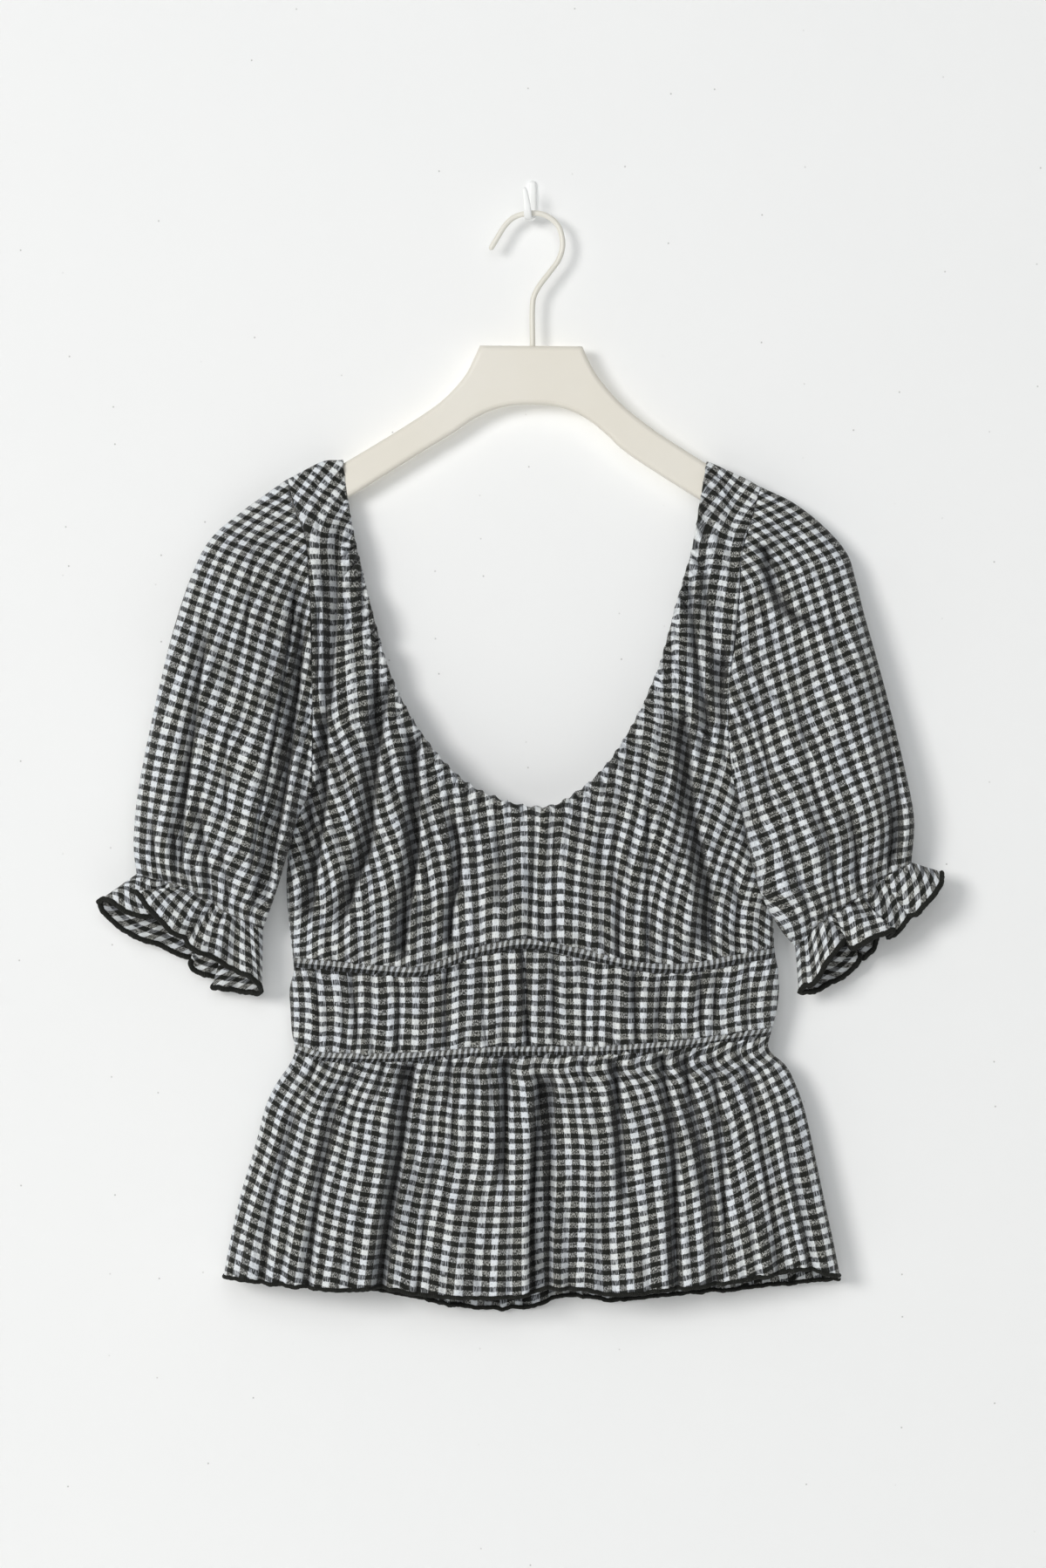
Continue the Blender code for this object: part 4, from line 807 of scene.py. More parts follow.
def band(face, seam, width, columns, seed):
    """A narrow casing over a seam, crowned and puckered, its colour dimmed unevenly by painted shade.
    """
    share = spread(columns)[None, :]
    v = np.linspace(0, 1, 11)[:, None]
    z = column(seam, share) + width * (0.5 - v)
    left, right = torso_parts(z)[:2]
    x = left + share * (right - left)
    crown = (1 - np.abs(2 * v - 1) ** 3) * 1.1
    flat = (share - 0.5) * BANDS_ACROSS
    pucker = 0.35 * noise(flat / 5.0, v * 1.2, seed) + 0.3 * noise(flat / 13, v, seed + 1)
    z = z + 0.35 * noise(flat / 9, 0.5 * v, seed + 2)
    y = torso_y(face, x, z, -0.3 - crown - pucker)
    u = 2.6 * (flat + 0.35 * (v - 0.5) * width + 0.8 * noise(flat / 6, v, seed + 5))
    w = 1.15 * (z - column(seam, share)) + 0.2 + 0.8 * noise(flat / 40, 0 * z, seed + 3)
    # Painted shade: the band's colour is dimmed unevenly, passed on as though drawn in by folds
    painted_band_shade = 6.0 + 4.5 * noise(flat / 3.2, 1.4 * v, seed + 4)
    return np.stack([x, y, z], axis=-1), u, w, painted_band_shade


# Sleeves


def sleeve_place(shape, along, share):
    """A sleeve's outline place: a patch between armhole, elastic and both edges."""
    gap = shape["side"] * ARMHOLE_GAP
    arm = [(x + gap, z) for x, z in reversed(shape["armhole"])]
    inner = [arm[0], *shape["inner"][1:]]
    outer = [arm[-1], *shape["outer"][1:]]
    start = read(by_length(arm), share)
    end = read(by_length(shape["elastic"]), share)
    low = read(by_length(inner), along)
    high = read(by_length(outer), along)
    along, share = along[..., None], share[..., None]
    place = (1 - along) * start + along * end + (1 - share) * low + share * high
    place = place - (1 - along) * ((1 - share) * np.array(arm[0]) + share * np.array(arm[-1]))
    ends = np.array(shape["elastic"])
    return place - along * ((1 - share) * ends[0] + share * ends[-1])


def sleeve_surface(shape, along, face, share, plain=False):
    place = sleeve_place(shape, along, share)
    x, z = place[..., 0], place[..., 1]
    arm = read(by_length(list(reversed(shape["armhole"]))), share)
    arm_x, arm_z = arm[..., 0], arm[..., 1]
    front_seam, back_seam = bodice_y(-1, arm_x, arm_z, 0.0), bodice_y(1, arm_x, arm_z, 0.0)
    start_y = np.where(face < 0, front_seam, back_seam)
    depth = read(SLEEVE_DEPTH, along)
    middle, front, back = depth[..., 0], depth[..., 1], depth[..., 2]
    over_hanger = swell((0.5 - along) / 0.25) * share**2
    middle = middle + (HANGER_Y - middle) * over_hanger
    forward = column(SLEEVE_LIES_OVER, along) * (1 - share) ** 3
    front_y = middle - front * rounding(share, PUFF_SQUARE)
    back_y = middle + np.minimum(back, BACK_MOST - middle) * rounding(share, SQUARE)
    round_y = np.where(face < 0, front_y, back_y) - forward
    leave = 1 - (1 - along) ** 6
    y = start_y + (round_y - start_y) * leave
    if plain:
        return x, y, z, 0 * x
    turn = rounding(share, PUFF_SQUARE) * swell(along / 0.06)
    drawn = fold_depth(shape["folds"], x, z) * np.where(face < 0, 1.0, 0.3)
    drawn = drawn * swell((1 - along) / 0.05)
    flat = share * SLEEVE_ACROSS * face
    to_elastic = (1 - along) * SLEEVE_DOWN
    gather = gathers(CUFF_GATHERS, flat, to_elastic, to_elastic)
    gather = gather + puckers(CUFF_PUCKERS, flat, to_elastic, to_elastic)
    round_arm = share * 200 * face
    from_arm = along * 100 * (0.3 + share)
    gather = gather + gathers(CAP_GATHERS, round_arm, from_arm, from_arm)
    gather = gather + 0.9 * ridges(flat, along * SLEEVE_DOWN, 15.0, 150.0, 66) * swell(along / 0.2)
    fine = crinkle(flat, along * SLEEVE_DOWN, 64 + int(shape["side"]))
    pinch = CUFF_PINCH * np.exp(-((to_elastic / 4.5) ** 2))
    y = y - face * (drawn - gather - fine + pinch) * turn
    return x, y, z, drawn * turn


def sleeve_ring(half):
    """Shares and faces round a sleeve: along its front outwards, and back behind."""
    t = np.linspace(0, math.pi, half + 1)
    shares = (1 - np.cos(t)) / 2 * 0.7 + t / math.pi * 0.3
    share = np.concatenate([shares, shares[::-1][1:]])
    face = np.concatenate([np.full(half + 1, -1.0), np.full(half, 1.0)])
    return share, face


def sleeve_weave(shape, along, face, x, z, half):
    """The weave runs down the sleeve's own line, with the checks counted from its
    outer edge, and its rows slope down from the outer fold on both sides."""
    side = shape["side"]
    (x0, z0), (x1, z1) = shape["axis"]
    length = math.dist((x0, z0), (x1, z1))
    ax, az = (x1 - x0) / length, (z1 - z0) / length
    down = (x - x0) * ax + (z - z0) * az
    out = ((x - x0) * az - (z - z0) * ax) * -side
    edge = read(by_length(shape["outer"]), np.linspace(0, 1, 80))
    edge_down = (edge[:, 0] - x0) * ax + (edge[:, 1] - z0) * az
    edge_out = ((edge[:, 0] - x0) * az - (edge[:, 1] - z0) * ax) * -side
    order = np.argsort(edge_down)
    outer_at = np.interp(down, edge_down[order], edge_out[order])
    inward = (outer_at - out) * (1 + 0.22 * swell((along - 0.6) / 0.4))
    inside = side * (column([(-z, x) for x, z in shape["outer_fold"]], -z) - x)
    lower = 1 - 0.9 * swell((-z - 300) / 60)
    lengthwise = down - SLEEVE_SLOPE * np.where(inside > 0, inside, inside * lower)

    def depth(at_x, at_z):
        return fold_depth(shape["folds"], at_x, at_z)

    extra = taken_up(depth, x, z, side * 200.0) - (x - side * 200.0)
    extra = extra - extra[:, half : half + 1]
    u = -side * inward * SLEEVE_TAKES + extra
    return np.where(face < 0, u, -u), -lengthwise


def sleeve(shape, half, rows):
    share, face = sleeve_ring(half)
    along = np.linspace(0, 1, rows) ** 0.92
    along, share = np.meshgrid(along, share, indexing="ij")
    face = np.broadcast_to(face, along.shape)
    x, y, z, drawn = sleeve_surface(shape, along, face, share)
    u, w = sleeve_weave(shape, along, face, x, z, half)
    return np.stack([x, y, z], axis=-1), *uneven(u, w, 70 + int(shape["side"])), drawn


def ruffle(shape, half, rows):
    """The cuff ruffle, from the elastic line to its wavy edge."""
    t = np.linspace(0, 1, half + 1)
    front, back = read(by_length(shape["front_edge"]), t), read(by_length(shape["back_edge"]), t)
    edge = np.concatenate([front, back[1:]])
    run = lengths_along(edge)
    share = np.concatenate([t, t[::-1][1:]])
    face = np.concatenate([np.full(half + 1, -1.0), np.full(half, 1.0)])
    round_cuff = rounding(share, PUFF_SQUARE)
    x, y, z, _ = sleeve_surface(shape, np.ones(len(share)), face, share, plain=True)
    gather = gathers(CUFF_GATHERS, share * SLEEVE_ACROSS * face, 0 * share, 0 * share)
    y = y - face * (CUFF_PINCH * round_cuff - gather * round_cuff)
    top = np.stack([x, y, z], axis=-1)
    v = np.linspace(0, 1, rows)[:, None]
    bend = v[..., None] ** np.array([1.0, 1.25, 1.0])
    places = top[None] + (edge - top)[None] * bend
    puff = np.sin(math.pi * v) * 2.0
    rise = 0.8 * ridges(run[None, :], v * 30, 11.0, 40.0, 81) * (0.4 + v) + 0.7 * puff
    rise = rise + 0.3 * noise(run[None, :] / 4.6, v * 8, 82)
    places[..., 1] += face[None, :] * rise * round_cuff[None, :]
    wave = 0.5 * noise(run / 5.5, 0 * run, 83) + 0.35 * noise(run / 2.6, 0 * run, 84)
    places[..., 2] += wave[None, :] * v**6
    u = np.broadcast_to(run[None, :], (rows, len(run))) * (0.82 + 0.18 * v)
    w = -(1 - v) * np.linalg.norm(edge - top, axis=1)[None, :]
    return places, u, w - 2.0, 0 * w


# Meshes


def moving_mean(places, half, axis, wrap):
    """Places averaged with their neighbours along one way of a grid."""
    pad = [(0, 0)] * 3
    pad[axis] = (half, half)
    wide = np.pad(places, pad, mode="wrap" if wrap else "edge")
    sums = np.cumsum(wide, axis=axis)
    zero = np.zeros_like(np.take(sums, [0], axis=axis))
    sums = np.concatenate([zero, sums], axis=axis)
    count = places.shape[axis]
    high = np.take(sums, np.arange(2 * half + 1, 2 * half + 1 + count), axis=axis)
    return (high - np.take(sums, np.arange(count), axis=axis)) / (2 * half + 1)


def recess(places, out, reach, wrap):
    """How far each place lies below its neighbourhood, seen along its normal."""
    deepest = np.full(places.shape[:2], -100.0)
    for axis, closed in ((1, wrap), (0, False)):
        step = np.linalg.norm(np.diff(places, axis=axis), axis=2).mean()
        half = max(1, int(reach / step / 2))
        if 2 * half + 2 >= places.shape[axis]:
            continue
        mean = moving_mean(moving_mean(places, half, axis, closed), half, axis, closed)
        below = ((mean - places) * out).sum(axis=2)
        if axis == 0:
            below[: 2 * half] = below[-2 * half :] = -100.0
        deepest = np.maximum(deepest, below)
    return deepest


def painted_fold_shade(drawn):
    """Painted shade: what light a fold's panel keeps in its colour, by how far it is drawn in."""
    return np.exp(-((np.clip(drawn, 0, None) / 9.5) ** 1.3))


def painted_hollow_shade(places, out, wrap):
    """How open each place lies on the side that out points to, from 0 to 1, kept as painted shade in
    the cloth's colour.
    """
    fine, broad = recess(places, out, 8.0, wrap), recess(places, out, 22.0, wrap)
    return np.exp(-np.clip(fine - 0.1, 0, None) / 1.9 - np.clip(broad - 0.3, 0, None) / 6.5)


def linked(name, data):
    thing = bpy.data.objects.new(name, data)
    bpy.context.scene.collection.objects.link(thing)
    return thing


def finish_mesh(name, points, faces, corner_uv, paint, shade=None):
    """A closed mesh from corners in millimetres, turned to face outwards, with painted shade in a
    crease attribute when one is given.
    """
    points = np.asarray(points) * MM
    volume = 0.0
    for group in faces:
        for last in range(2, group.shape[1]):
            a, b, c = (points[group[:, k]] for k in (0, last - 1, last))
            volume += (a * np.cross(b, c)).sum()
    if volume < 0:
        ends = np.cumsum([group.size for group in faces])[:-1]
        parts = np.split(np.asarray(corner_uv), ends)
        turned = [p.reshape(*g.shape, 2)[:, ::-1].reshape(-1, 2) for p, g in zip(parts, faces)]
        corner_uv = np.concatenate(turned)
        faces = [group[:, ::-1] for group in faces]
    flat = np.concatenate([group.ravel() for group in faces])
    counts = np.concatenate([np.full(len(f), f.shape[1]) for f in faces])
    mesh = bpy.data.meshes.new(name)
    mesh.vertices.add(len(points))
    mesh.vertices.foreach_set("co", points.ravel())
    mesh.loops.add(len(flat))
    mesh.loops.foreach_set("vertex_index", flat)
    mesh.polygons.add(len(counts))
    mesh.polygons.foreach_set("loop_start", np.concatenate([[0], np.cumsum(counts)[:-1]]))
    mesh.update(calc_edges=True)
    grain = mesh.uv_layers.new(name="grain")
    grain.data.foreach_set("uv", (np.asarray(corner_uv) * MM).ravel())
    # The crease attribute holds painted shade for the cloth's colour
    if shade is not None:
        crease = mesh.attributes.new("crease", "FLOAT", "POINT")
        crease.data.foreach_set("value", np.asarray(shade, float))
    mesh.validate()
    mesh.shade_smooth()
    mesh.materials.append(paint)
    return linked(name, mesh)


def stacked(*corners):
    return np.stack(corners, axis=-1).reshape(-1, len(corners))


def quads(rows, columns, wrap):
    """Corner indices of a grid's faces."""
    wide = columns if wrap else columns - 1
    r, c = np.meshgrid(np.arange(rows - 1), np.arange(wide), indexing="ij")
    here, below = r * columns, (r + 1) * columns
    after = (c + 1) % columns
    return stacked(here + c, below + c, below + after, here + after)


def shell(name, places, u, v, drawn, paint, outside, thick=THICK, wrap=False):
    """A grid of places closed into a thin wall. A wrapped grid's last column lies on
    its first, and only its weave coordinates are kept. Outside is 1 where the grid's
    normal points to the side that is worn outwards, and -1 where it points inwards."""
    uv = np.stack([u, v], axis=-1)
    if wrap:
        places, drawn = places[:, :-1], drawn[:, :-1]
        round_it = np.roll(places, -1, axis=1) - np.roll(places, 1, axis=1)
    else:
        round_it = np.gradient(places, axis=1)
    rows, columns = places.shape[:2]
    out = unit(np.cross(round_it, np.gradient(places, axis=0)))
    front = (places + out * thick / 2).reshape(-1, 3)
    rear = (places - out * thick / 2).reshape(-1, 3)
    # Painted shade for the crease attribute: both faces darken in hollows, and the outer face also over
    # fold panels
    sides = [painted_hollow_shade(places, out, wrap), painted_hollow_shade(places, -out, wrap)]
    sides[0 if outside > 0 else 1] *= painted_fold_shade(drawn)
    shade = np.concatenate([side.ravel() for side in sides])

    one = quads(rows, columns, wrap)
    size, wide = rows * columns, uv.shape[1]
    grain = uv.reshape(-1, 2)
    corner = quads(rows, wide, False)
    faces, uvs = [one, one[:, ::-1] + size], [grain[corner], grain[corner[:, ::-1]]]
    ends = np.arange(columns if wrap else columns - 1)
    after = (ends + 1) % columns
    last, low = (rows - 1) * columns, (rows - 1) * wide + ends
    faces.append(stacked(ends, after, after + size, ends + size))
    uvs.append(grain[stacked(ends, ends + 1, ends + 1, ends)])
    faces.append(stacked(last + after, last + ends, last + ends + size, last + after + size))
    uvs.append(grain[stacked(low + 1, low, low, low + 1)])
    if not wrap:
        left = np.arange(rows) * columns
        right = left + columns - 1
        for a, b in ((left[1:], left[:-1]), (right[:-1], right[1:])):
            faces.append(stacked(a, b, b + size, a + size))
            uvs.append(grain[stacked(a, b, b, a)])
    corner_uv = np.concatenate([x.reshape(-1, 2) for x in uvs])
    return finish_mesh(name, np.concatenate([front, rear]), faces, corner_uv, paint, shade)


def rod_faces(count, sides, closed=False):
    """Quads round a rod's rings and, at an open rod's ends, triangles to a point."""
    r, c = np.meshgrid(np.arange(count if closed else count - 1), np.arange(sides), indexing="ij")
    next_r, next_c = (r + 1) % count, (c + 1) % sides
    here, there = r * sides, next_r * sides
    faces = [stacked(here + c, here + next_c, there + next_c, there + c)]
    if not closed:
        ring = np.arange(sides)
        after = (ring + 1) % sides
        last = (count - 1) * sides
        faces.append(stacked(ring, np.full(sides, count * sides), after))
        faces.append(stacked(last + after, np.full(sides, count * sides + 1), last + ring))
    return faces


def frames_along(route, closed):
    """Directions across a route, turning with it as little as they can."""
    if closed:
        run = np.roll(route, -1, axis=0) - np.roll(route, 1, axis=0)
    else:
        run = np.gradient(route, axis=0)
    run = unit(run)
    side = unit(np.cross(run, np.array([0.0, -1.0, 0.0])), 1e-6)
    return side, np.cross(side, run)


def tube(name, route, radius, paint, sides=10, closed=False):
    """A round rod along a route, its ends closed to a point; radius may change."""
    route = np.asarray(route, float)
    count = len(route)
    radius = np.broadcast_to(np.asarray(radius, float), (count,)).copy()
    side, rise = frames_along(route, closed)
    angle = np.arange(sides) * 2 * math.pi / sides
    ring = np.cos(angle)[None, :, None] * side[:, None] + np.sin(angle)[None, :, None] * rise[:, None]
    points = (route[:, None] + ring * radius[:, None, None]).reshape(-1, 3)
    lengths = lengths_along(route)
    lengths = np.append(lengths, lengths[-1] + (lengths[1] - lengths[0]))
    r, c = np.meshgrid(np.arange(count if closed else count - 1), np.arange(sides), indexing="ij")
    step = 2 * math.pi * radius.mean() / sides
    start, end = lengths[r], lengths[r + 1]
    low, high = c * step, (c + 1) * step
    uv = np.stack([start, low, start, high, end, high, end, low], axis=-1)
    corner_uv = [uv.reshape(-1, 2)]
    if not closed:
        points = np.concatenate([points, route[[0, -1]]])
        corner_uv.append(np.zeros((sides * 6, 2)))
    faces = rod_faces(count, sides, closed)
    return finish_mesh(name, points, faces, np.concatenate(corner_uv), paint)


def domed(route, radius, ends=6):
    """Adds rings that close a rod's ends in a dome."""
    route = [np.asarray(p, float) for p in route]
    t = np.linspace(0.15, 1.0, ends)
    lead, tail = unit(route[0] - route[1]), unit(route[-1] - route[-2])
    front = [route[0] + lead * radius * math.cos(a * math.pi / 2) for a in t]
    back = [route[-1] + tail * radius * math.cos(a * math.pi / 2) for a in t[::-1]]
    sizes = [radius * math.sin(a * math.pi / 2) for a in t]
    full = np.array(front + route[1:-1] + back)
    radii = np.array(sizes + [radius] * (len(route) - 2) + sizes[::-1])
    return full, radii


# Materials


class Nodes:
    """A short way to write a material's nodes."""

    def __init__(self, name):
        self.material = bpy.data.materials.new(name)
        self.material.use_nodes = True
        self.tree = self.material.node_tree
        self.shader = self.tree.nodes["Principled BSDF"]
        self.output = self.tree.nodes["Material Output"]

    def add(self, kind, **settings):
        node = self.tree.nodes.new("ShaderNode" + kind)
        for name, value in settings.items():
            setattr(node, name, value)
        return node

    def put(self, socket, value):
        if isinstance(value, bpy.types.NodeSocket):
            self.tree.links.new(value, socket)
        else:
            socket.default_value = value

    def fill(self, node, *values):
        for socket, value in zip(node.inputs, values):
            self.put(socket, value)
        return node.outputs[0]

    def set(self, **values):
        for name, value in values.items():
            self.put(self.shader.inputs[name.replace("_", " ")], value)

    def math(self, operation, a, b=0.0, c=0.0):
        return self.fill(self.add("Math", operation=operation), a, b, c)

    def step(self, value, low, high):
        node = self.add("MapRange", interpolation_type="SMOOTHSTEP")
        self.put(node.inputs["Value"], value)
        node.inputs["From Min"].default_value = low
        node.inputs["From Max"].default_value = high
        return node.outputs["Result"]

    def grain(self):
        """The weave's two coordinates in millimetres."""
        node = self.add("UVMap", uv_map="grain")
        size = self.add("VectorMath", operation="MULTIPLY")
        both = self.fill(size, node.outputs["UV"], (1000.0, 1000.0, 0.0))
        return self.parts(both)[:2]

    def place(self):
        return self.add("TexCoord").outputs["Object"]

    def parts(self, vector):
        node = self.add("SeparateXYZ")
        self.put(node.inputs[0], vector)
        return node.outputs[0], node.outputs[1], node.outputs[2]

    def joined(self, x, y, z=0.0):
        return self.fill(self.add("CombineXYZ"), x, y, z)

    def stretched(self, u, v, u_size, v_size):
        return self.joined(self.math("MULTIPLY", u, u_size), self.math("MULTIPLY", v, v_size))

    def noise(self, vector, scale, detail=2.0, rough=0.5):
        node = self.add("TexNoise")
        self.put(node.inputs["Vector"], vector)
        node.inputs["Scale"].default_value = scale
        node.inputs["Detail"].default_value = detail
        node.inputs["Roughness"].default_value = rough
        return node.outputs["Fac"]

    def mix(self, share, a, b, way="MIX"):
        node = self.add("Mix", data_type="RGBA", blend_type=way)
        self.put(node.inputs["Factor"], share)
        self.put(node.inputs[6], a)
        self.put(node.inputs[7], b)
        return node.outputs[2]

    def bump(self, height, strength, distance, normal=None):
        node = self.add("Bump")
        self.put(node.inputs["Height"], height)
        node.inputs["Strength"].default_value = strength
        node.inputs["Distance"].default_value = distance
        if normal is not None:
            self.put(node.inputs["Normal"], normal)
        return node.outputs[0]


TURN = 2 * math.pi
WHITE, THIN_WHITE = (0.82, 0.855, 0.87, 1.0), (0.60, 0.63, 0.645, 1.0)
BLACK, WORN_BLACK = (0.0095, 0.0105, 0.0080, 1.0), (0.030, 0.032, 0.028, 1.0)
# where white and black threads cross: white ones down, or white ones across
DOWN_DARK, DOWN_LIGHT = (0.050, 0.054, 0.056, 1.0), (0.43, 0.45, 0.475, 1.0)
ACROSS_DARK, ACROSS_LIGHT = (0.030, 0.031, 0.027, 1.0), (0.43, 0.435, 0.415, 1.0)
COOL, WARM = (0.965, 0.97, 1.0, 1.0), (1.0, 0.99, 0.965, 1.0)
OVERLOCK_DARK, OVERLOCK_LIGHT = (0.0085, 0.0090, 0.0070, 1.0), (0.034, 0.036, 0.031, 1.0)
STITCH = 0.8
WALL_TONES = (0.88, 0.89, 0.89, 1.0), (0.91, 0.915, 0.91, 1.0)
# painted shade in the wall's pits
PAINTED_PIT_SHADE = (0.55, 0.55, 0.54, 1.0)


def gingham_material():
    """Black and white threads both ways, ragged at each check's edge."""
    n = Nodes("crinkled_gingham")
    u, v = n.grain()
    ragged = n.math("SUBTRACT", n.noise(n.stretched(u, v, 1.3, 0.5), 0.9, 3.0), 0.5)
    stagger = n.math("SUBTRACT", n.noise(n.stretched(u, v, 1.1, 1.1), 1.1, 2.0), 0.5)
    u_turn = n.math("MULTIPLY_ADD", u, TURN / CHECK_ACROSS, n.math("MULTIPLY", stagger, 0.7))
    v_turn = n.math("MULTIPLY_ADD", v, TURN / CHECK_ALONG, n.math("MULTIPLY", ragged, 1.5))
    warp = n.step(n.math("SINE", u_turn), -0.06, 0.28)
    weft = n.step(n.math("SINE", v_turn), -0.30, 0.12)

    streak = n.noise(n.stretched(u, v, 1.75, 0.22), 1.0, 1.0)
    bead = n.noise(n.stretched(u, v, 1.9, 0.75), 1.0, 2.0)
    cloudy = n.noise(n.stretched(u, v, 0.05, 0.05), 1.0, 2.0)
    white = n.mix(n.step(bead, 0.30, 0.62), THIN_WHITE, WHITE)
    black = n.mix(n.step(streak, 0.58, 0.72), BLACK, WORN_BLACK)
    down_white = n.mix(n.step(streak, 0.45, 0.66), DOWN_DARK, DOWN_LIGHT)
    across_white = n.mix(n.step(bead, 0.43, 0.62), ACROSS_DARK, ACROSS_LIGHT)
    color = n.mix(warp, n.mix(weft, black, across_white), n.mix(weft, down_white, white))
    color = n.mix(1.0, color, n.mix(n.step(cloudy, 0.35, 0.65), COOL, WARM), "MULTIPLY")
    # Painted shade: the crease attribute darkens the weave's colour in hollows and fold panels
    crease = n.add("Attribute", attribute_name="crease").outputs["Fac"]
    painted_shade_scale = n.math("MULTIPLY_ADD", crease, PAINTED_CREASE_SHADE, 1 - PAINTED_CREASE_SHADE)
    painted_shade_color = n.add("VectorMath", operation="SCALE")
    n.put(painted_shade_color.inputs[0], color)
    n.put(painted_shade_color.inputs["Scale"], painted_shade_scale)
    n.set(Base_Color=painted_shade_color.outputs[0], Roughness=0.92)
    n.set(Sheen_Weight=0.12, Sheen_Roughness=0.6, Specular_IOR_Level=0.18)

    puffed = n.math("MULTIPLY", warp, weft)
    hollow = n.math("MULTIPLY", n.math("SUBTRACT", 1.0, warp), n.math("SUBTRACT", 1.0, weft))
    height = n.math("MULTIPLY_ADD", puffed, 1.0, n.math("MULTIPLY", hollow, 0.55))
    thread = n.math("MULTIPLY_ADD", streak, 0.6, n.math("MULTIPLY", bead, 0.5))
    n.set(Normal=n.bump(thread, 0.5, 0.0006, n.bump(height, 0.55, 0.0007)))
    return n.material


def overlock_material():
    """Slanting wraps of black thread with a little fuzz, and a painted highlight on the wraps' crests.
    """
    n = Nodes("black_overlock")
    u, v = n.grain()
    slant = n.math("MULTIPLY_ADD", u, TURN / STITCH, n.math("MULTIPLY", v, 1.4))
    wobble = n.noise(n.joined(u, v), 1.3, 2.0)
    wraps = n.math("SINE", n.math("MULTIPLY_ADD", wobble, 5.0, slant))
    fuzz = n.noise(n.stretched(u, v, 2.4, 2.4), 1.0, 3.0)
    # Lighter on the wraps' crests, a painted highlight, and lighter with the fuzz, the thread's own
    # tone
    painted_highlight_and_fuzz = n.step(n.math("MULTIPLY_ADD", wraps, 0.25, fuzz), 0.35, 0.95)
    n.set(Base_Color=n.mix(painted_highlight_and_fuzz, OVERLOCK_DARK, OVERLOCK_LIGHT), Roughness=0.85)
    n.set(Specular_IOR_Level=0.25)
    n.set(Normal=n.bump(n.math("MULTIPLY_ADD", wraps, 0.4, fuzz), 0.8, 0.0005))
    return n.material


def painted_material(name, color, shade, rough, grain_size, strength):
    """Paint or plastic with faint mottling and an uneven surface."""
    n = Nodes(name)
    place = n.place()
    cloud = n.noise(place, 14.0, 3.0)
    speck = n.noise(place, grain_size, 2.0)
    n.set(Base_Color=n.mix(n.step(cloud, 0.35, 0.7), (*color, 1.0), (*shade, 1.0)))
    n.set(Roughness=n.math("MULTIPLY_ADD", speck, 0.12, rough - 0.06))
    n.set(Normal=n.bump(speck, strength, 0.0004))
    return n.material


def wall_material():
    """Pale plaster with a few pits darkened by painted shade, seen from the front only."""
    n = Nodes("pale_wall")
    place = n.place()
    cloud = n.noise(place, 3.0, 3.0)
    x, _, z = n.parts(place)
    dots = n.add("TexVoronoi", voronoi_dimensions="2D")
    n.put(dots.inputs["Vector"], n.joined(x, z))
    dots.inputs["Scale"].default_value = 34.0
    near = n.math("SUBTRACT", 1.0, n.step(dots.outputs["Distance"], 0.010, 0.026))
    red, _, _ = n.parts(dots.outputs["Color"])
    pits = n.math("MULTIPLY", near, n.step(red, 0.80, 0.95))
    # The pits take painted shade in their colour, and the bump dents them
    n.set(Base_Color=n.mix(pits, n.mix(cloud, *WALL_TONES), PAINTED_PIT_SHADE), Roughness=0.9)
    n.set(Specular_IOR_Level=0.1)
    deep = n.math("MULTIPLY", pits, -0.8)
    grainy = n.math("MULTIPLY_ADD", n.noise(place, 60.0, 4.0), 0.5, deep)
    n.set(Normal=n.bump(grainy, 0.12, 0.001))
    behind = n.add("NewGeometry").outputs["Backfacing"]
    clear = n.add("BsdfTransparent").outputs[0]
    choose = n.fill(n.add("MixShader"), behind, n.shader.outputs[0], clear)
    n.put(n.output.inputs["Surface"], choose)
    return n.material


gingham = gingham_material()
overlock = overlock_material()
board = painted_material("cream_board", (0.755, 0.72, 0.635), (0.77, 0.74, 0.665), 0.5, 420.0, 0.10)
wire_paint = painted_material("cream_wire", (0.74, 0.72, 0.64), (0.78, 0.76, 0.69), 0.36, 500.0, 0.06)
hook_paint = painted_material("white_hook", (0.86, 0.875, 0.865), (0.89, 0.90, 0.89), 0.34, 500.0, 0.06)

# The pieces

# How finely each panel is divided: a bodice's rows and which of its rays are left
# out, then columns and rows of a waistband and a peplum
PANELS = {
    "front": {
        "face": -1,
        "bodice": (FRONT_BODICE_FOLDS, 66, 1),
        "waistband": (FRONT_WAISTBAND_FOLDS, 300, 34),
        "peplum": (FRONT_HEM, FRONT_PEPLUM_FOLDS, 330, 80),
    },
    "back": {
        "face": 1,
        "bodice": (BACK_BODICE_FOLDS, 46, 2),
        "waistband": (BACK_WAISTBAND_FOLDS, 200, 24),
        "peplum": (BACK_HEM, BACK_PEPLUM_FOLDS, 220, 56),
    },
}


def fitted(thing, node):
    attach(thing, "root")
    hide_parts(node)


def cloth(node, grid, outside, thick=THICK, wrap=False):
    fitted(shell("cloth_" + node, *grid, gingham, outside, thick, wrap), node)


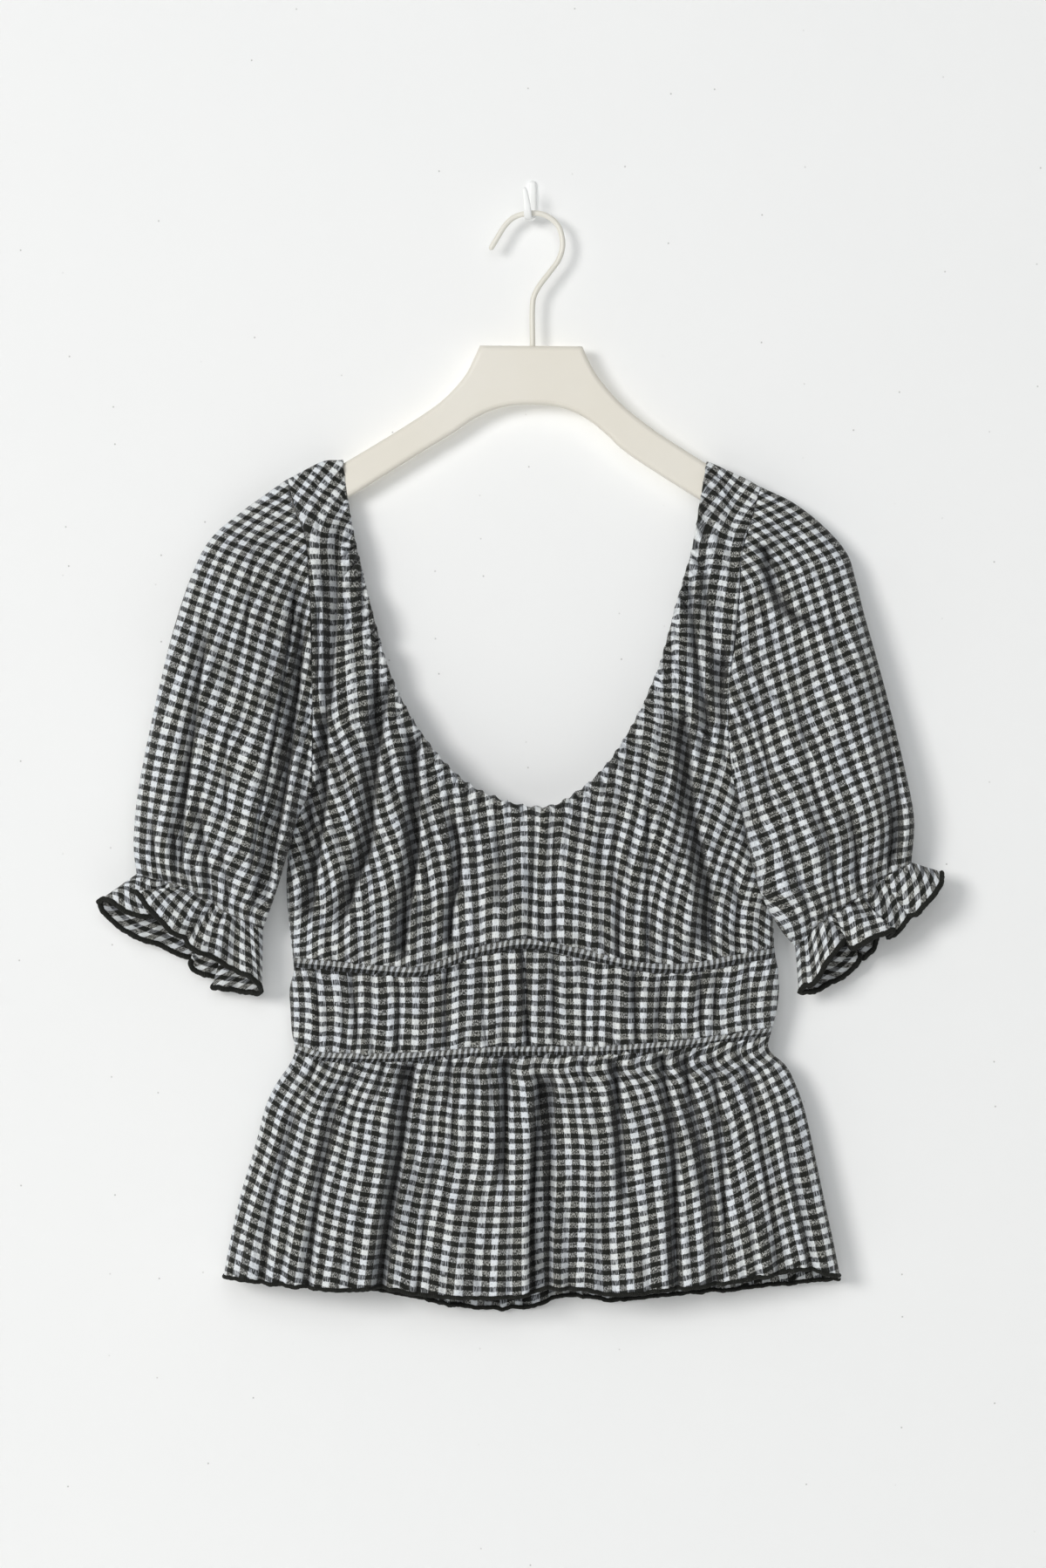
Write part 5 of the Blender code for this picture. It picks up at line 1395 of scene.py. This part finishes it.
def edge_tube(name, node, places, closed, seed):
    """An overlocked edge along a grid's last row."""
    last, before = places[-1], places[-3]
    route = last + unit(last - before) * 0.5
    steps = lengths_along(route)
    run = np.linspace(0, steps[-1], int(steps[-1] / 0.85))
    line = np.stack([np.interp(run, steps, route[:, i]) for i in range(3)], axis=-1)
    lumps = 0.16 * noise(run / 2.2, 0 * run, seed) + 0.12 * noise(run / 6.0, 0 * run, seed + 1)
    radius = (1.2 if closed else 1.0) * EDGE_RADIUS * (1 + lumps)
    line[:, 2] += 0.25 * noise(run / 3.1, 0 * run, seed + 2)
    if closed:
        line, radius = line[:-1], radius[:-1]
    else:
        line, radius = line[2:-2], radius[2:-2]
        radius[0] = radius[-1] = EDGE_RADIUS * 0.5
    fitted(tube(name, line, radius, overlock, sides=8, closed=closed), node)


def build_torso():
    for name, sizes in PANELS.items():
        face = sizes["face"]
        cloth(f"{name}_bodice", bodice(face, *sizes["bodice"]), face)
        cloth(f"{name}_waistband", waistband(face, *sizes["waistband"]), face)
        grid = peplum(face, *sizes["peplum"])
        cloth(f"{name}_peplum", grid, face)
        edge_tube(f"edge_{name}_hem", f"{name}_hem_edge", grid[0], False, 90 + face)
        grid = band(face, across(UNDERBUST), UNDERBUST_BAND, 220, 31 + face)
        cloth(f"{name}_underbust_band", grid, face, BAND_THICK)
        grid = band(face, across(WAIST), WAIST_BAND, 220, 35 + face)
        cloth(f"{name}_waist_band", grid, face, BAND_THICK)


def build_sleeves():
    for name, shape in SLEEVES.items():
        side = int(shape["side"])
        cloth(f"{name}_sleeve", sleeve(shape, 130, 112), -side, wrap=True)
        grid = ruffle(shape, 150, 30)
        cloth(f"{name}_ruffle", grid, -side, wrap=True)
        edge_tube(f"edge_{name}_ruffle", f"{name}_ruffle_edge", grid[0], True, 95 + side)


def smooth_outline(points, corners, step):
    """A closed outline through the points, smooth but at its sharp corners."""
    count = len(points)
    result = []
    for i in range(count):
        p0, p1, p2, p3 = (np.array(points[(i + k) % count]) for k in (-1, 0, 1, 2))
        if i in corners:
            p0 = 2 * p1 - p2
        if (i + 1) % count in corners:
            p3 = 2 * p2 - p1
        slope = p2 - p0
        bend = 2 * p0 - 5 * p1 + 4 * p2 - p3
        twist = 3 * p1 - p0 - 3 * p2 + p3
        parts = max(1, int(np.linalg.norm(p2 - p1) / step))
        for t in np.arange(parts) / parts:
            result.append(0.5 * (2 * p1 + slope * t + bend * t**2 + twist * t**3))
    return result


def build_hanger():
    """The board: its outline filled, thickened and rounded."""
    curve = bpy.data.curves.new("hanger_shape", "CURVE")
    curve.dimensions = "2D"
    curve.fill_mode = "BOTH"
    curve.extrude = (HANGER_THICK / 2 - HANGER_ROUND) * MM
    curve.bevel_depth = HANGER_ROUND * MM
    curve.offset = -HANGER_ROUND * MM
    curve.bevel_resolution = 4
    outline = smooth_outline(HANGER_OUTLINE, HANGER_CORNERS, 4.0)
    line = curve.splines.new("POLY")
    line.points.add(len(outline) - 1)
    for point, (x, z) in zip(line.points, outline):
        point.co = (x * MM, z * MM, 0.0, 1.0)
    line.use_cyclic_u = True
    drawn = linked("hanger_drawn", curve)
    drawn.rotation_euler = (math.pi / 2, 0.0, 0.0)
    drawn.location = (0.0, HANGER_Y * MM, 0.0)
    bpy.context.view_layer.update()
    solid = drawn.evaluated_get(bpy.context.evaluated_depsgraph_get())
    mesh = bpy.data.meshes.new_from_object(solid)
    mesh.transform(drawn.matrix_world)
    bpy.data.objects.remove(drawn, do_unlink=True)
    mesh.name = "hanger_plate"
    mesh.materials.clear()
    mesh.materials.append(board)
    fitted(linked("hanger_plate", mesh), "hanger")


def build_wire():
    way = read(by_length(WIRE_ROUTE), np.linspace(0, 1, 110))
    route = np.stack([way[:, 0], np.full(len(way), HANGER_Y), way[:, 1]], axis=-1)
    route, radii = domed(route, WIRE_RADIUS)
    fitted(tube("hanger_wire", route, radii, wire_paint, sides=20), "hanger_hook")


def build_wall_hook(rings=90, sides=18):
    """A bent strip with rounded sides, narrower and thinner at its ends."""
    way = read(by_length(WALL_HOOK_ROUTE), np.linspace(0, 1, rings))
    run = unit(np.gradient(way[:, :3], axis=0))
    side = np.array([1.0, 0.0, 0.0])
    rise = unit(np.cross(run, side))
    half = way[:, 3]
    thick = HOOK_THICK / 2 * np.clip(half / 1.8, 0.4, 1.0)
    middle = way[:, :3] + rise * (HOOK_THICK / 2)
    angle = np.arange(sides) * TURN / sides
    wide = np.sign(np.cos(angle)) * np.abs(np.cos(angle)) ** 0.75
    tall = np.sign(np.sin(angle)) * np.abs(np.sin(angle)) ** 0.75
    points = middle[:, None] + wide[None, :, None] * half[:, None, None] * side
    points = points + tall[None, :, None] * thick[:, None, None] * rise[:, None]
    caps = middle[[0, -1]] + np.array([-run[0], run[-1]]) * 0.35
    points = np.concatenate([points.reshape(-1, 3), caps])
    faces = rod_faces(rings, sides)
    uv = np.zeros((sum(group.size for group in faces), 2))
    body = finish_mesh("wall_hook_body", points, faces, uv, hook_paint)
    fitted(body, "wall_hook")


build_torso()
build_sleeves()
build_hanger()
build_wire()
build_wall_hook()

# Stage, lights and camera

WALL_Y = 0.0008
FLOOR_Z = -1.5
MIDDLE = (0.0, -0.02, -0.36)
DISTANCE = 3.2
PHOTO_HEIGHT, PIXEL = 1798, 0.55  # the photo's rows, and the millimetres of one
SENSOR = 36.0


def plane(name, corners, paint):
    mesh = bpy.data.meshes.new(name)
    mesh.from_pydata(corners, [], [(0, 1, 2, 3)])
    mesh.materials.append(paint)
    thing = linked(name, mesh)
    return thing


def area_light(name, place, size, power, color):
    light = bpy.data.lights.new(name, "AREA")
    light.shape = "DISK"
    light.size = size
    light.energy = power
    light.color = color
    thing = linked(name, light)
    thing.location = place
    way = Vector([to - at for to, at in zip(MIDDLE, place)])
    thing.rotation_euler = way.to_track_quat("-Z", "Y").to_euler()


wall_corners = [(x, WALL_Y, z) for x, z in ((-1.6, FLOOR_Z), (1.6, FLOOR_Z), (1.6, 1.2), (-1.6, 1.2))]
wall = plane("wall", wall_corners, wall_material())
wall.visible_shadow = False
floor_paint = painted_material("pale_floor", (0.80, 0.80, 0.79), (0.84, 0.84, 0.83), 0.8, 60.0, 0.05)
floor_corners = [(x, y, FLOOR_Z) for x, y in ((-3, -4), (3, -4), (3, 3), (-3, 3))]
plane("floor", floor_corners, floor_paint)
area_light("key", (-3.70, -5.81, 1.02), 2.5, 232.0, (1.0, 0.985, 0.965))
area_light("fill", (-0.3, -4.2, 0.9), 3.4, 58.0, (0.97, 0.985, 1.0))
area_light("behind", (0.4, 1.8, 0.1), 1.6, 24.0, (1.0, 1.0, 1.0))

world = bpy.data.worlds.new("studio")
world.use_nodes = True
sky = world.node_tree.nodes["Background"]
sky.inputs[0].default_value = (0.98, 0.99, 1.0, 1.0)
sky.inputs[1].default_value = 0.20
bpy.context.scene.world = world
bpy.context.scene.view_settings.view_transform = "Standard"

camera_data = bpy.data.cameras.new("camera")
camera_data.sensor_fit = "VERTICAL"
camera_data.sensor_height = SENSOR
camera_data.lens = SENSOR * DISTANCE / (PHOTO_HEIGHT * PIXEL * MM)
camera = linked("camera", camera_data)
camera.location = (-0.00605, -0.022 - DISTANCE, -0.36905)
camera.rotation_euler = (math.pi / 2, 0.0, 0.0)
bpy.context.scene.camera = camera
